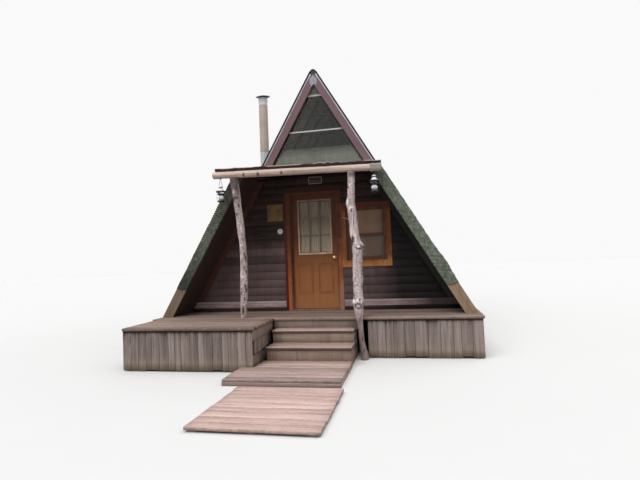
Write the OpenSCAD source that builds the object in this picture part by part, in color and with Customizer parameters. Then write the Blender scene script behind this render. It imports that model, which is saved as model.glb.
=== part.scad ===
/* [Roof] */
// Slope of the two roof planes, degrees
roof_slope = 59.8; // [55:0.1:65]
// Half width between the rafters' inner faces at deck level
roof_in = 2410; // [2200:10:2600]
// Depth of the rafters
rafter_d = 140; // [90:5:190]
// Thickness of rafters, joists and jambs
lumber_t = 38; // [30:1:50]
// Sheathing and roofing together
skin_t = 16; // [12:1:30]
// Height above the deck at which the ridge is cut flat
ridge_z = 4396; // [4380:1:4398]
// Height of the roof's lower edge, below the deck
roof_foot_z = -63; // [-80:1:-50]
// Number of rafter pairs
rafter_pairs = 9; // [6:1:12]

/* [Plan] */
// Length of the cabin from front siding to back siding
cabin_len = 4877; // [3600:1:6100]
// Distance of the glazed gable behind the door wall
gable_back = 292; // [200:1:400]
// Distance of the wings' front behind or before the door wall
wing_depth = 720; // [500:10:1000]
// Overhang of the roof behind the back wall
back_overhang = 143; // [50:1:300]
// Thickness of the walls with their siding
wall_t = 115; // [90:5:160]
// Height of the front wall under the porch roof
wall_top = 2370; // [2300:5:2370]

/* [Deck] */
// Height of the deck above the ground
deck_h = 610; // [500:5:700]
// Thickness of deck boards and floor boards
board_t = 38; // [25:1:45]
// Left end of the left platform
deck_left = -2500; // [-2600:5:-2400]
// Left end of the strip before the front wall
strip_left = -2592; // [-2620:1:-2500]
// Right end of the deck
deck_right = 2627; // [2600:1:2700]
// Depth of the deck in front of the siding
deck_depth = 1026; // [900:2:1200]
// Depth of the left platform in front of the siding
platform_depth = 1971; // [1700:1:2200]
// Right end of the left platform
platform_right = -507; // [-600:1:-480]
// Left end of the right skirt
skirt_right_start = 950; // [930:1:1100]
// Thickness of the skirt boards
skirt_t = 19; // [15:1:30]

/* [Steps and walk] */
// Left side of the steps
step_left = -457; // [-470:1:-400]
// Right side of the steps
step_right = 770; // [700:1:780]
// Drop from the deck to the upper tread
upper_drop = 150; // [120:5:200]
// Drop from the deck to the lower tread
lower_drop = 340; // [300:5:380]
// Nose of the upper tread in front of the siding
upper_nose = 1278; // [1250:1:1350]
// Nose of the lower tread in front of the siding
lower_nose = 1584; // [1550:1:1700]
// Top of the landing above the ground
landing_top = 80; // [60:1:120]
// Top of the boardwalk above the ground
walk_top = 50; // [40:1:60]

/* [Door] */
// Width of the door slab
door_w = 813; // [711:1:914]
// Height of the door slab
door_h = 2032; // [1980:1:2100]
// Thickness of the door slab
door_t = 45; // [35:1:50]
// Left edge of the door slab
door_x = -447; // [-460:1:-440]
// Gap between the door slab and its frame at the hinges and the head
door_gap = 5; // [4:1:8]
// Gap between the door slab and its frame at the knob, wide enough for the swing
latch_gap = 8; // [7:1:10]

/* [Window] */
// Width of the window's opening
win_w = 698; // [600:1:800]
// Height of the window's opening
win_h = 923; // [800:1:1000]
// Left edge of the front window's opening
win_x = 537; // [530:1:560]
// Sill height of the window's opening
win_z = 850; // [800:5:900]
// Width of the side casings
casing_w = 75; // [60:1:90]

/* [Porch] */
// Fall of the porch roof to the right, degrees
porch_tilt = 1.4; // [0:0.1:1.6]
// Rise of the porch roof to the gable, degrees
porch_pitch = 3; // [1:0.1:3]
// Left end of the porch roof
porch_left = -1447; // [-1500:1:-1400]
// Right end of the porch roof at its front edge
porch_right = 1252; // [1245:1:1270]
// Right end of the porch roof at the gable
porch_back_right = 1172; // [1150:1:1250]
// Underside of the porch roof over the log beam
porch_z = 2350; // [2345:1:2360]
// Thickness of the porch roof's boards
porch_board_t = 25; // [20:1:30]
// Radius of the log beam at its left end
beam_r_left = 59; // [50:1:65]
// Radius of the log beam at its right end
beam_r_right = 48; // [40:1:58]
// How far the log beam's right end hangs below the porch roof
beam_drop = 20; // [0:1:25]

/* [Flue] */
// Outer radius of the flue
flue_r = 101.5; // [75:0.5:130]
// Height of the flue's top above the deck
flue_top = 4720; // [4500:5:5000]
// Distance of the flue's axis to the left of the ridge
flue_x = 1620; // [1500:5:1700]
// Distance of the flue's axis behind the front siding
flue_y = 2220; // [1800:5:2600]

/* [Hidden] */

// Lengthwise places, measured from the outer face of the front siding towards the back
siding_t = 19;
trim_t = 19;
gable_y = gable_back;
roof_front = gable_y - 30;
back_y = cabin_len;
roof_back = back_y + back_overhang;
walk_front = -4075;
walk_back = -2765;
landing_front = -2600;
total_mid = (walk_front + roof_back + 4) / 2;
skirt_bottom = -deck_h;
wrap_t = 8;
wing_sheath = 12;
lining_t = 12;
wing_bare = 450;
rake_t = 28;
shade_t = 4;
glass_t = 6;

// Clearance between pieces of the cabin that lie against each other
fit_gap = 0.3;

// Depth of the joists under the deck
deck_joist_h = 140;

// Door and its frame
frame_x0 = door_x - door_gap - lumber_t;
frame_x1 = door_x + door_w + latch_gap + lumber_t;
door_z = 28;
frame_top = door_z + door_h + door_gap + lumber_t;
door_y = wall_t - door_t;
lite_w = 622;
lite_h = 980;
lite_x = door_x + 101.5;
lite_z = door_z + 951;
knob_x = door_x + door_w - 62;
knob_z = 915;
hinge_zs = [230, 1040, 1850];

// Half width of a line at distance t outside the rafters' inner face, at height z
function hx(t, z) = roof_in + t / sin(roof_slope) - z / tan(roof_slope);

// Underside of the porch roof at a point of the plan
function porch_under(x, y) = porch_z - x * tan(porch_tilt) + (y + 920) * tan(porch_pitch);

// Puts the cabin's own zero, the deck's top at the front siding, over the ground's middle
module place() {
    translate([0, -total_mid, deck_h]) children();
}

// Extrudes an outline of the XZ plane from y0 to y1
module wall_prism(points, y0, y1) {
    translate([0, y1, 0]) rotate([90, 0, 0]) linear_extrude(height = y1 - y0) polygon(points);
}

// A box between two corners
module block(low, high) {
    translate(low) cube(high - low);
}

// Draws a shape on the left when side is -1, on the right when side is 1
module on_side(side) {
    if (side > 0) children();
    if (side < 0) mirror([1, 0, 0]) children();
}

// A slab that follows the right roof plane between offsets t0 and t1 and heights z0 and z1
module slope_slab(t0, t1, z0, z1, y0, y1) {
    wall_prism([[hx(t0, z0), z0], [hx(t1, z0), z0], [hx(t1, z1), z1], [hx(t0, z1), z1]], y0, y1);
}

// Catmull-Rom value between b and c
function curve(a, b, c, d, s) =
    0.5 * (2 * b + (c - a) * s + (2 * a - 5 * b + 4 * c - d) * s * s
        + (3 * b - a - 3 * c + d) * s * s * s);

// A ring [x, y, z, r] at place u along a list of hand-chosen rings
function ring_at(rings, u) =
    let (n = len(rings) - 1, i = min(floor(u), n - 1), s = u - i)
    curve(rings[max(i - 1, 0)], rings[i], rings[i + 1], rings[min(i + 2, n)], s);

// How much a knot [place, angle, height, length] lifts the bark at place u and angle a
function knot_lift(knots, u, a) = len(knots) == 0 ? 0 :
    max([for (k = knots)
        let (du = (u - k[0]) / k[3], ca = max(0, cos(a - k[1])))
        k[2] * exp(-du * du) * ca * ca * ca]);

// A crooked log: rings of sides points, swept along the hand-chosen rings.
// upright logs lie in level rings, lying logs in rings across X
module log_sweep(rings, knots, per, sides, upright = true) {
    count = (len(rings) - 1) * per + 1;
    skin = [for (j = [0 : count - 1])
        let (u = j / per, g = ring_at(rings, u))
        for (i = [0 : sides - 1])
            let (a = i * 360 / sides, r = g[3] + knot_lift(knots, u, a))
            upright ? [g[0] + r * cos(a), g[1] + r * sin(a), g[2]]
                : [g[0], g[1] + r * cos(a), g[2] + r * sin(a)]];
    sides_faces = [for (j = [0 : count - 2]) for (i = [0 : sides - 1])
        let (k = (i + 1) % sides)
        each [[j * sides + i, (j + 1) * sides + k, j * sides + k],
            [j * sides + i, (j + 1) * sides + i, (j + 1) * sides + k]]];
    ends = [[for (i = [0 : sides - 1]) i],
        [for (i = [sides - 1 : -1 : 0]) (count - 1) * sides + i]];
    polyhedron(points = skin, faces = concat(sides_faces, ends), convexity = 6);
}

// Floor and deck

module floor() {
    color("sienna") place()
        block([-hx(rafter_d, 0) + 1, 0, -board_t], [hx(rafter_d, 0) - 1, back_y, 0]);
}

module floor_joists() {
    joist_h = 184;
    color("peru") place()
        for (i = [0 : 8])
            let (y = skirt_t + i * (back_y - 2 * skirt_t - lumber_t) / 8)
            block([-2540, y, -board_t - joist_h], [2540, y + lumber_t, -board_t]);
}

module deck_boards() {
    color("gray") place() {
        block([strip_left, -deck_depth, -board_t], [deck_right, 0, 0]);
        block([deck_left, -platform_depth, -board_t], [platform_right, -deck_depth - 1, 0]);
    }
}

module deck_joists() {
    xs = [for (i = [0 : 4]) deck_left + 60 + i * (platform_right - deck_left - 158) / 4];
    color("dimgray") place() {
        for (x = xs)
            block([x, -platform_depth + 60, -board_t - deck_joist_h], [x + lumber_t, -1030, -board_t]);
        for (i = [0 : 8])
            let (x = -2520 + i * 605)
            block([x, -deck_depth + 60, -board_t - deck_joist_h], [x + lumber_t, -20, -board_t]);
    }
}

// The board under the deck's edge behind the steps, and the platform's right side: a board under
// the edge, upright boards with a dark slit before them, and a low board behind their feet
module deck_fascia() {
    fascia_h = 152;
    side_x = platform_right - 20;
    front = -platform_depth + 20 + skirt_t;
    color("gray") place() {
        block([platform_right, -deck_depth + 20, -board_t - fascia_h],
            [step_right + 30, -deck_depth + 20 + lumber_t, -board_t]);
        block([side_x - lumber_t, front, -board_t - fascia_h], [side_x, -deck_depth + 19, -board_t]);
        for (y = [[-1836, -1500], [-1478, -1164]])
            block([side_x - lumber_t, y[0], skirt_bottom + 215],
                [side_x - 10, y[1], -board_t - fascia_h + 1]);
        block([side_x - 2 * lumber_t, front, skirt_bottom],
            [side_x - lumber_t - 1, -deck_depth + 19, skirt_bottom + 225]);
        for (y = [front, -deck_depth + 19 - 60])
            block([side_x - 2 * lumber_t, y, skirt_bottom + 224],
                [side_x - lumber_t + 1, y + 60, -board_t - deck_joist_h - 2]);
    }
}

module skirt_front_left() {
    color("dimgray") place()
        block([deck_left + 2, -platform_depth + 20, skirt_bottom],
            [platform_right - 20, -platform_depth + 20 + skirt_t, -board_t]);
}

module skirt_front_right() {
    color("dimgray") place()
        block([skirt_right_start, -deck_depth + 20, skirt_bottom],
            [deck_right - 20, -deck_depth + 20 + skirt_t, -board_t]);
}

module skirt_left() {
    color("dimgray") place() {
        block([deck_left + 2, -platform_depth + 20 + skirt_t, skirt_bottom],
            [deck_left + 2 + skirt_t, -deck_depth + 19, -board_t]);
        block([strip_left + 20, -deck_depth + 20 + skirt_t + 1, skirt_bottom],
            [strip_left + 20 + skirt_t, back_y, -board_t]);
        block([strip_left + 20, -deck_depth + 20, skirt_bottom],
            [deck_left + 2 + skirt_t, -deck_depth + 20 + skirt_t, -board_t]);
    }
}

module skirt_right() {
    color("dimgray") place() {
        block([deck_right - 20 - skirt_t, -deck_depth + 20 + skirt_t, skirt_bottom],
            [deck_right - 20, -1, -board_t]);
        block([hx(rafter_d, 0) - skirt_t, skirt_t + 1, skirt_bottom],
            [hx(rafter_d, 0), back_y, -board_t]);
        block([hx(rafter_d, 0) - skirt_t, 0, skirt_bottom], [deck_right - 20, skirt_t, -board_t]);
    }
}

module skirt_back() {
    color("dimgray") place()
        block([-hx(rafter_d, 0) + skirt_t, back_y - skirt_t, skirt_bottom],
            [hx(rafter_d, 0) - skirt_t, back_y, -board_t]);
}

// Steps, landing and boardwalk

module step_treads() {
    color("olive") place() {
        block([step_left, -upper_nose, -upper_drop - board_t], [step_right, -deck_depth + 20, -upper_drop]);
        block([step_left - 6, -lower_nose, -lower_drop - board_t],
            [step_right + 6, -upper_nose + 20, -lower_drop]);
    }
}

// Risers and closed sides, one box under each tread
module step_boxes() {
    upper_y = -upper_nose + 20;
    lower_y = -lower_nose + 20;
    color("darkolivegreen") place() {
        difference() {
            block([step_left + 6, upper_y + 1, skirt_bottom],
                [step_right - 6, -deck_depth + 20, -upper_drop - board_t]);
            block([step_left + 6 + lumber_t, upper_y + lumber_t + 1, skirt_bottom - 1],
                [step_right - 6 - lumber_t, -deck_depth + 21, -upper_drop]);
        }
        block([step_right - 6 - lumber_t, -deck_depth + 19, skirt_bottom],
            [step_right - 6, -deck_depth + 176, -upper_drop - board_t - 3]);
        difference() {
            block([step_left + 6, lower_y, skirt_bottom], [step_right - 6, upper_y, -lower_drop - board_t]);
            block([step_left + 6 + lumber_t, lower_y + lumber_t, skirt_bottom - 1],
                [step_right - 6 - lumber_t, upper_y + 1, -lower_drop]);
        }
    }
}

// The landing ends at the platform's front on the left and under the lower tread on the right
module landing() {
    low = skirt_bottom;
    top = skirt_bottom + landing_top;
    side = platform_right + 2;
    left_y = -platform_depth + 18;
    right_y = -lower_nose + 18;
    color("gray") place() {
        block([-700, landing_front, top - 28], [780, left_y, top]);
        block([side, left_y - 1, top - 28], [780, right_y, top]);
        block([-700, landing_front, low], [780, landing_front + lumber_t, top - 27]);
        block([side, right_y - lumber_t, low], [780, right_y, top - 27]);
        block([-700, left_y - lumber_t, low], [side, left_y, top - 27]);
        for (x = [-700, side, 742])
            block([x, landing_front + 1, low], [x + lumber_t, x < side ? left_y : right_y, top - 27]);
    }
}

module boardwalk() {
    top = skirt_bottom + walk_top;
    color("rosybrown") place() {
        block([-420, walk_front, top - 30], [847, walk_back, top]);
        for (x = [-380, 170, 718])
            block([x, walk_front + 30, skirt_bottom], [x + 89, walk_back - 30, top - 30]);
    }
}

// Walls

module front_wall_left() {
    color("#3b2f33") place()
        wall_prism([[-hx(0, 0), 0], [frame_x0, 0], [frame_x0, wall_top], [-hx(0, wall_top), wall_top]],
            0, wall_t);
}

module front_wall_right() {
    color("#3b2f33") place() difference() {
        wall_prism([[frame_x1, 0], [hx(0, 0), 0], [hx(0, wall_top), wall_top], [frame_x1, wall_top]],
            0, wall_t);
        block([win_x, -1, win_z], [win_x + win_w, wall_t + 1, win_z + win_h]);
    }
}

module front_wall_over_door() {
    color("#3b2f33") place()
        block([frame_x0, 0, frame_top], [frame_x1, wall_t, wall_top]);
}

module back_wall() {
    apex = roof_in * tan(roof_slope);
    color("#3b2f33") place() difference() {
        wall_prism([[-hx(0, 0), 0], [hx(0, 0), 0], [0, apex]], back_y - wall_t, back_y);
        block([-win_w / 2, back_y - wall_t - 1, win_z], [win_w / 2, back_y + 1, win_z + win_h]);
    }
}

// Slanted boards under the roof on the front wall, the right one cut by the window's casing,
// with the pale band at the wall's foot
module wall_trim() {
    band = [70, 176];
    color("silver") place() difference() {
        for (side = [-1, 1])
            let (trim_w = side < 0 ? 115 : 90, x = side < 0 ? 580 : 468)
            on_side(side) {
                slope_slab(-trim_w, -fit_gap, band[0], 2330, -trim_t, 0);
                wall_prism([[x, band[0]], [hx(-trim_w - 1, band[0]), band[0]],
                    [hx(-trim_w - 1, band[1]), band[1]], [x, band[1]]], -trim_t, 0);
            }
        block([win_x - casing_w - 1, -trim_t - 10, win_z - 111],
            [win_x + win_w + casing_w + 1, 1, win_z + win_h + casing_w + 1]);
    }
}

// The glazed gable over the porch

gable_sill_top = 2490;
bar_z = 3252;
strip_z = 3908;
bar_h = 26;

module gable_glass() {
    y = gable_y + 30;
    color("slategray") place()
        wall_prism([[-hx(-2, gable_sill_top), gable_sill_top], [hx(-2, gable_sill_top), gable_sill_top],
            [hx(-2, strip_z), strip_z], [-hx(-2, strip_z), strip_z]], y, y + glass_t);
}

// Sill, side stops and a low board behind the glass, and the small closed panel in the peak
module gable_frame() {
    board_top = gable_sill_top + 460;
    stop_y = gable_y + 30 + glass_t;
    apex = (roof_in - 2) * tan(roof_slope);
    color("#4a3a34") place() {
        wall_prism([[-hx(-2, 2290), 2290], [hx(-2, 2290), 2290],
            [hx(-2, gable_sill_top), gable_sill_top], [-hx(-2, gable_sill_top), gable_sill_top]],
            roof_front, gable_y + 90);
        for (side = [-1, 1])
            on_side(side) slope_slab(-28, -2, gable_sill_top, strip_z + bar_h + 20, stop_y, stop_y + 25);
        wall_prism([[-hx(-20, gable_sill_top - 5), gable_sill_top - 5],
            [hx(-20, gable_sill_top - 5), gable_sill_top - 5],
            [hx(-20, board_top), board_top], [-hx(-20, board_top), board_top]], stop_y + 2, stop_y + 14);
        wall_prism([[-hx(-2, strip_z + bar_h), strip_z + bar_h], [hx(-2, strip_z + bar_h), strip_z + bar_h],
            [0, apex - 4]], gable_y + 18, stop_y + 25);
    }
}

module gable_bars() {
    y = gable_y + 18;
    color("ivory") place()
        for (z = [bar_z, strip_z])
            wall_prism([[-hx(-3, z), z], [hx(-3, z), z], [hx(-3, z + bar_h), z + bar_h],
                [-hx(-3, z + bar_h), z + bar_h]], y, y + (z == bar_z ? 12 : 18));
}

// Roof

module roof_half() {
    top = ridge_z;
    seat = ridge_z - 16;
    difference() {
        wall_prism([[hx(rafter_d, roof_foot_z), roof_foot_z],
            [hx(rafter_d + skin_t, roof_foot_z), roof_foot_z],
            [hx(rafter_d + skin_t, top), top], [0.5, top], [0.5, seat], [hx(rafter_d, seat), seat]],
            roof_front, roof_back);
    }
}

module roof_left() {
    color("darkslategray") place() difference() {
        on_side(-1) roof_half();
        translate([-flue_x, flue_y, 0]) cylinder(r = flue_r + 25, h = 3000, $fn = 64);
    }
}

module roof_right() {
    color("darkslategray") place() roof_half();
}

module rafters() {
    seat = ridge_z - 16;
    top_t = rafter_d - fit_gap;
    apex = roof_in * tan(roof_slope);
    step = (back_y - lumber_t - gable_y) / (rafter_pairs - 1);
    color("peru") place()
        for (i = [0 : rafter_pairs - 1])
            for (side = [-1, 1])
                let (y = gable_y + i * step)
                on_side(side)
                    wall_prism([[hx(0, 0), 0], [hx(top_t, 0), 0], [hx(top_t, seat - fit_gap), seat - fit_gap],
                        [0.5, seat - fit_gap], [0.5, apex - 0.8]], y, y + lumber_t);
}

module ridge_cap() {
    t = rafter_d + skin_t + fit_gap;
    top = ridge_z + fit_gap;
    low = ridge_z - 146;
    color("darkslategray") place()
        wall_prism([[hx(t, low), low], [hx(t + 4, low), low], [hx(t + 4, ridge_z + 2), ridge_z + 2],
            [6, ridge_z + 8], [-6, ridge_z + 8], [-hx(t + 4, ridge_z + 2), ridge_z + 2],
            [-hx(t + 4, low), low], [-hx(t, low), low], [-hx(t, top), top],
            [hx(t, top), top]], roof_front - 4, roof_back + 4);
}

module rake_boards() {
    seat = ridge_z - 16 - fit_gap;
    t0 = -4;
    t1 = rafter_d - fit_gap;
    peak = (roof_in + t0 / sin(roof_slope)) * tan(roof_slope);
    color("#6b4a48") place()
        for (side = [-1, 1]) {
            on_side(side)
                wall_prism([[hx(t0, gable_sill_top), gable_sill_top],
                    [hx(t1, gable_sill_top), gable_sill_top],
                    [hx(t1, seat), seat], [0.5, seat], [0.5, peak - 1]],
                    gable_y - rake_t, gable_y - fit_gap);
            on_side(side)
                wall_prism([[hx(t0, 0), 0], [hx(t1, 0), 0],
                    [hx(t1, seat), seat], [0.5, seat], [0.5, peak - 1]],
                    back_y + fit_gap, back_y + rake_t);
        }
}

// Wings: the roof planes carried forward over the porch, cut level under the porch roof

function wing_top(side) = 2350 - side * 25;

module wing_frames() {
    sheath_t = rafter_d + wing_sheath;
    color("tan") place()
        for (side = [-1, 1])
            on_side(side) {
                slope_slab(-lining_t, 0, 0, wing_top(side), -wing_depth, -trim_t - fit_gap);
                for (y = [-wing_depth, -240, 0])
                    slope_slab(fit_gap, rafter_d - fit_gap, 0, wing_top(side), y, y + lumber_t);
                slope_slab(rafter_d, sheath_t, 0, wing_top(side), -wing_depth, roof_front - fit_gap);
            }
}

// Roofing over a wing's outside and round its front edge, its lower edge cut level
module wing_wrap(side) {
    inner = rafter_d + wing_sheath + fit_gap;
    t = rafter_d + skin_t;
    top = wing_top(side);
    slope_slab(inner, t, wing_bare, top, -wing_depth - 1, roof_front - fit_gap);
    slope_slab(-lining_t, t, wing_bare, top, -wing_depth - wrap_t, -wing_depth - fit_gap);
}

module wing_roofing_left() {
    color("darkseagreen") place() on_side(-1) wing_wrap(-1);
}

module wing_roofing_right() {
    color("darkseagreen") place() wing_wrap(1);
}

// Door

module door_frame() {
    stop_y = door_y - 21;
    color("saddlebrown") place() {
        difference() {
            block([frame_x0, 0, 0], [frame_x1, wall_t, frame_top]);
            block([frame_x0 + lumber_t, -1, -1], [frame_x1 - lumber_t, wall_t + 1, frame_top - lumber_t]);
        }
        difference() {
            block([frame_x0 + lumber_t - 1, stop_y, 0],
                [frame_x1 - lumber_t + 1, stop_y + 15, frame_top - lumber_t + 1]);
            block([frame_x0 + lumber_t + 16, stop_y - 1, -1],
                [frame_x1 - lumber_t - 16, stop_y + 16, frame_top - lumber_t - 16]);
        }
        wall_prism([[frame_x0 + lumber_t - 1, 0], [frame_x1 - lumber_t + 1, 0],
            [frame_x1 - lumber_t + 1, 22], [frame_x0 + lumber_t - 1, 22]], -30, wall_t);
    }
}

module door_casing() {
    color("chocolate") place() {
        block([-575, -trim_t, 0], [-468, 0, 2085]);
        block([386, -trim_t, 0], [461, 0, 2085]);
        block([-575, -trim_t, 2085], [461, 0, 2185]);
    }
}

// A pillow panel: a low truncated pyramid on the door's face
module panel_bump(x0, x1, z0, z1, y, out) {
    bevel = 22;
    hull() {
        block([x0, min(y, y + out * 0.01), z0], [x1, max(y, y + out * 0.01) + 0.02, z1]);
        block([x0 + bevel, min(y, y + out), z0 + bevel], [x1 - bevel, max(y, y + out), z1 - bevel]);
    }
}

module door_slab() {
    cut = 12;
    rows = [[265, 785]];
    cols = [[95, 350], [463, 718]];
    color("#9a5a1e") place() {
        difference() {
            block([door_x, door_y, door_z], [door_x + door_w, door_y + door_t, door_z + door_h]);
            block([lite_x + cut, door_y - 1, lite_z + cut],
                [lite_x + lite_w - cut, door_y + door_t + 1, lite_z + lite_h - cut]);
            translate([knob_x, door_y - 1, knob_z]) rotate([-90, 0, 0])
                cylinder(r = 11, h = door_t + 2, $fn = 48);
            for (r = rows)
                for (c = cols) {
                    block([door_x + c[0], door_y - 1, door_z + r[0]],
                        [door_x + c[1], door_y + 5, door_z + r[1]]);
                    block([door_x + c[0], door_y + door_t - 5, door_z + r[0]],
                        [door_x + c[1], door_y + door_t + 1, door_z + r[1]]);
                }
        }
        for (r = rows)
            for (c = cols) {
                wall_prism([for (p = [[0, 0], [1, 0], [1, 1], [0, 1]])
                    [door_x + (p[0] == 0 ? c[0] + 24 : c[1] - 24),
                        door_z + (p[1] == 0 ? r[0] + 24 : r[1] - 24)]], door_y + 1, door_y + 6);
                wall_prism([for (p = [[0, 0], [1, 0], [1, 1], [0, 1]])
                    [door_x + (p[0] == 0 ? c[0] + 24 : c[1] - 24),
                        door_z + (p[1] == 0 ? r[0] + 24 : r[1] - 24)]],
                    door_y + door_t - 6, door_y + door_t - 1);
            }
    }
}

// Rim round the glass on both faces, joined through the hole, with a grille of three by three
module door_lite_frame() {
    bar = 20;
    x0 = lite_x;
    x1 = lite_x + lite_w;
    z0 = lite_z;
    z1 = lite_z + lite_h;
    inner = 32;
    color("wheat") place() {
        difference() {
            union() {
                block([x0, door_y - 10, z0], [x1, door_y, z1]);
                block([x0 + 13, door_y, z0 + 13], [x1 - 13, door_y + door_t, z1 - 13]);
                block([x0, door_y + door_t, z0], [x1, door_y + door_t + 10, z1]);
            }
            block([x0 + inner, door_y - 11, z0 + inner], [x1 - inner, door_y + door_t + 11, z1 - inner]);
        }
        for (i = [1, 2]) {
            x = x0 + inner + i * (lite_w - 2 * inner) / 3;
            z = z0 + inner + i * (lite_h - 2 * inner) / 3;
            block([x - bar / 2, door_y + 2, z0 + inner - 1], [x + bar / 2, door_y + 12, z1 - inner + 1]);
            block([x0 + inner - 1, door_y + 2, z - bar / 2], [x1 - inner + 1, door_y + 12, z + bar / 2]);
        }
    }
}

module door_glass() {
    inner = 32;
    color("lightgray") place()
        block([lite_x + inner, door_y + 14, lite_z + inner],
            [lite_x + lite_w - inner, door_y + 30, lite_z + lite_h - inner]);
}

// One knob's outline, revolved: rose, neck and ball
module knob_half() {
    rotate_extrude($fn = 48)
        polygon([[0, 0], [32, 0], [32, 4], [27, 8], [12, 11], [12, 26], [17, 30], [24, 36],
            [27, 44], [26, 52], [21, 60], [12, 64], [0, 65]]);
}

module door_knob() {
    color("gold") place() {
        translate([knob_x, door_y, knob_z]) rotate([90, 0, 0]) knob_half();
        translate([knob_x, door_y + door_t, knob_z]) rotate([-90, 0, 0]) knob_half();
        translate([knob_x, door_y - 1, knob_z]) rotate([-90, 0, 0])
            cylinder(r = 10.5, h = door_t + 2, $fn = 48);
    }
}

// Knuckles of the three hinges on the door's inner edge, with the leaf on the slab
module door_hinges() {
    color("darkgoldenrod") place()
        for (z = hinge_zs) {
            translate([door_x - 2, door_y + door_t + 6, door_z + z])
                cylinder(r = 5.5, h = 90, $fn = 32);
            block([door_x - 2, door_y + door_t, door_z + z],
                [door_x + 34, door_y + door_t + 2.5, door_z + z + 90]);
        }
}

// Window parts, drawn about the window's middle with y towards the inside

module both_windows() {
    translate([win_x + win_w / 2, 0, 0]) children();
    translate([0, back_y, 0]) rotate(180) children();
}

module window_casings() {
    w = win_w / 2;
    color("chocolate") place() both_windows() difference() {
        block([-w - casing_w, -trim_t - 4, win_z - 110], [w + casing_w, 0, win_z + win_h + casing_w]);
        block([-w, -trim_t - 5, win_z], [w, 1, win_z + win_h]);
    }
}

module window_sashes() {
    w = win_w / 2;
    rail = 45;
    mid = win_z + win_h * 0.475;
    color("sienna") place() both_windows() {
        difference() {
            block([-w, 10, win_z], [w, 90, win_z + win_h]);
            block([-w + 18, 9, win_z + 18], [w - 18, 91, win_z + win_h - 18]);
        }
        difference() {
            block([-w + 17, 16, mid - rail / 2], [w - 17, 44, win_z + win_h - 17]);
            block([-w + 18 + rail, 15, mid + rail / 2], [w - 18 - rail, 45, win_z + win_h - 18 - rail]);
        }
        difference() {
            block([-w + 17, 44, win_z + 17], [w - 17, 72, mid + rail / 2]);
            block([-w + 18 + rail, 43, win_z + 18 + rail], [w - 18 - rail, 73, mid - rail / 2]);
        }
    }
}

module window_glass() {
    w = win_w / 2 - 63;
    mid = win_z + win_h * 0.475;
    color("lightsteelblue") place() both_windows() {
        block([-w, 28, mid + 22.5], [w, 32, win_z + win_h - 63]);
        block([-w, 56, win_z + 63], [w, 60, mid - 22.5]);
    }
}

module window_shades() {
    w = win_w / 2 - 20;
    color("tan") place() both_windows()
        block([-w, 76, win_z + 20], [w, 76 + shade_t, win_z + win_h - 20]);
}

// Porch

beam_y = -920;
beam_x0 = -1485;
beam_x1 = 1085;
block_foot = 2199;

module porch_frame_of_reference() {
    translate([0, beam_y, porch_z]) rotate([0, porch_tilt, 0]) rotate([porch_pitch, 0, 0]) children();
}

// The porch roof's outline, narrower at the gable, between two heights and grown by out
module porch_sheet(z0, z1, out) {
    back = roof_front - beam_y - 4;
    front = -78 - 2 * out;
    porch_frame_of_reference() translate([0, 0, z0]) linear_extrude(height = z1 - z0)
        polygon([[porch_left - out, front], [porch_right + out, front],
            [porch_back_right + out, back], [porch_left - out, back]]);
}

module porch_roof() {
    color("#5a4436") place() porch_sheet(0, porch_board_t, 0);
}

// Roofing with its edge turned down over the front of the boards
module porch_roofing() {
    color("#3a3330") place() {
        porch_sheet(porch_board_t + fit_gap, porch_board_t + 8, 4);
        porch_frame_of_reference()
            block([porch_left - 4, -86, 8], [porch_right + 4, -79, porch_board_t + 1]);
    }
}

function beam_r(x) = beam_r_left + (beam_r_right - beam_r_left) * (x - beam_x0) / (beam_x1 - beam_x0);
function beam_axis(x) = porch_under(x, beam_y) - beam_r(x) - 1.5
    - beam_drop * (x - beam_x0) / (beam_x1 - beam_x0);

// The tapered log with its knots, and the square block spliced on at its right end
module porch_beam() {
    stations = [0, 0.08, 0.2, 0.35, 0.5, 0.65, 0.8, 0.92, 1];
    wander = [0, 3, -2, 3, -3, 2, -2, 1, 0];
    rings = [for (i = [0 : len(stations) - 1])
        let (x = beam_x0 + stations[i] * (beam_x1 - beam_x0))
        [x, beam_y + wander[i], beam_axis(x), beam_r(x)]];
    knots = [[0.9, 205, 7, 0.12], [2.07, 192, 8, 0.13], [2.69, 196, 8, 0.13], [3.7, 192, 8, 0.13],
        [4.7, 205, 7, 0.15], [5.7, 190, 7, 0.14], [7.4, 200, 7, 0.15]];
    top = porch_under(porch_right, beam_y - 58) - 1;
    color("tan") place() {
        log_sweep(rings, knots, 4, 16, false);
        block([beam_x1 - 1, beam_y - 58, block_foot], [porch_right, beam_y + 58, top]);
    }
}

// Rings [x, y, z, r] of the posts, chosen by hand, and their knots
left_rings = [[-1040, -915, 0, 50], [-1034, -915, 120, 49], [-1023, -915, 380, 59],
    [-1016, -915, 600, 57], [-1012, -916, 800, 55], [-1013, -917, 1000, 52], [-1018, -918, 1180, 52],
    [-1035, -919, 1380, 55], [-1053, -920, 1570, 55], [-1078, -920, 1780, 58], [-1097, -920, 1970, 60],
    [-1120, -920, 2150, 63], [-1134, -920, 2279, 64]];
left_knots = [[1.1, 200, 9, 0.35], [3.4, 20, 8, 0.3], [5.2, 160, 7, 0.3], [7.5, 30, 8, 0.3],
    [9.6, 220, 9, 0.3]];
right_rings = [[898, -1100, -610, 62], [896, -1100, -530, 50], [880, -1102, -430, 42],
    [863, -1103, -280, 37], [854, -1103, -130, 39], [843, -1096, -20, 50], [835, -1085, 60, 64],
    [831, -1070, 130, 72], [828, -1050, 220, 79], [829, -1030, 310, 72], [826, -1000, 450, 72],
    [826, -975, 640, 73], [832, -950, 850, 73], [838, -940, 1000, 74], [832, -930, 1110, 70],
    [808, -925, 1230, 63], [792, -922, 1400, 62], [778, -920, 1560, 62], [768, -920, 1720, 60],
    [772, -920, 1850, 58], [779, -920, 2000, 55], [783, -920, 2120, 54], [785, -920, 2229, 54]];
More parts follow.
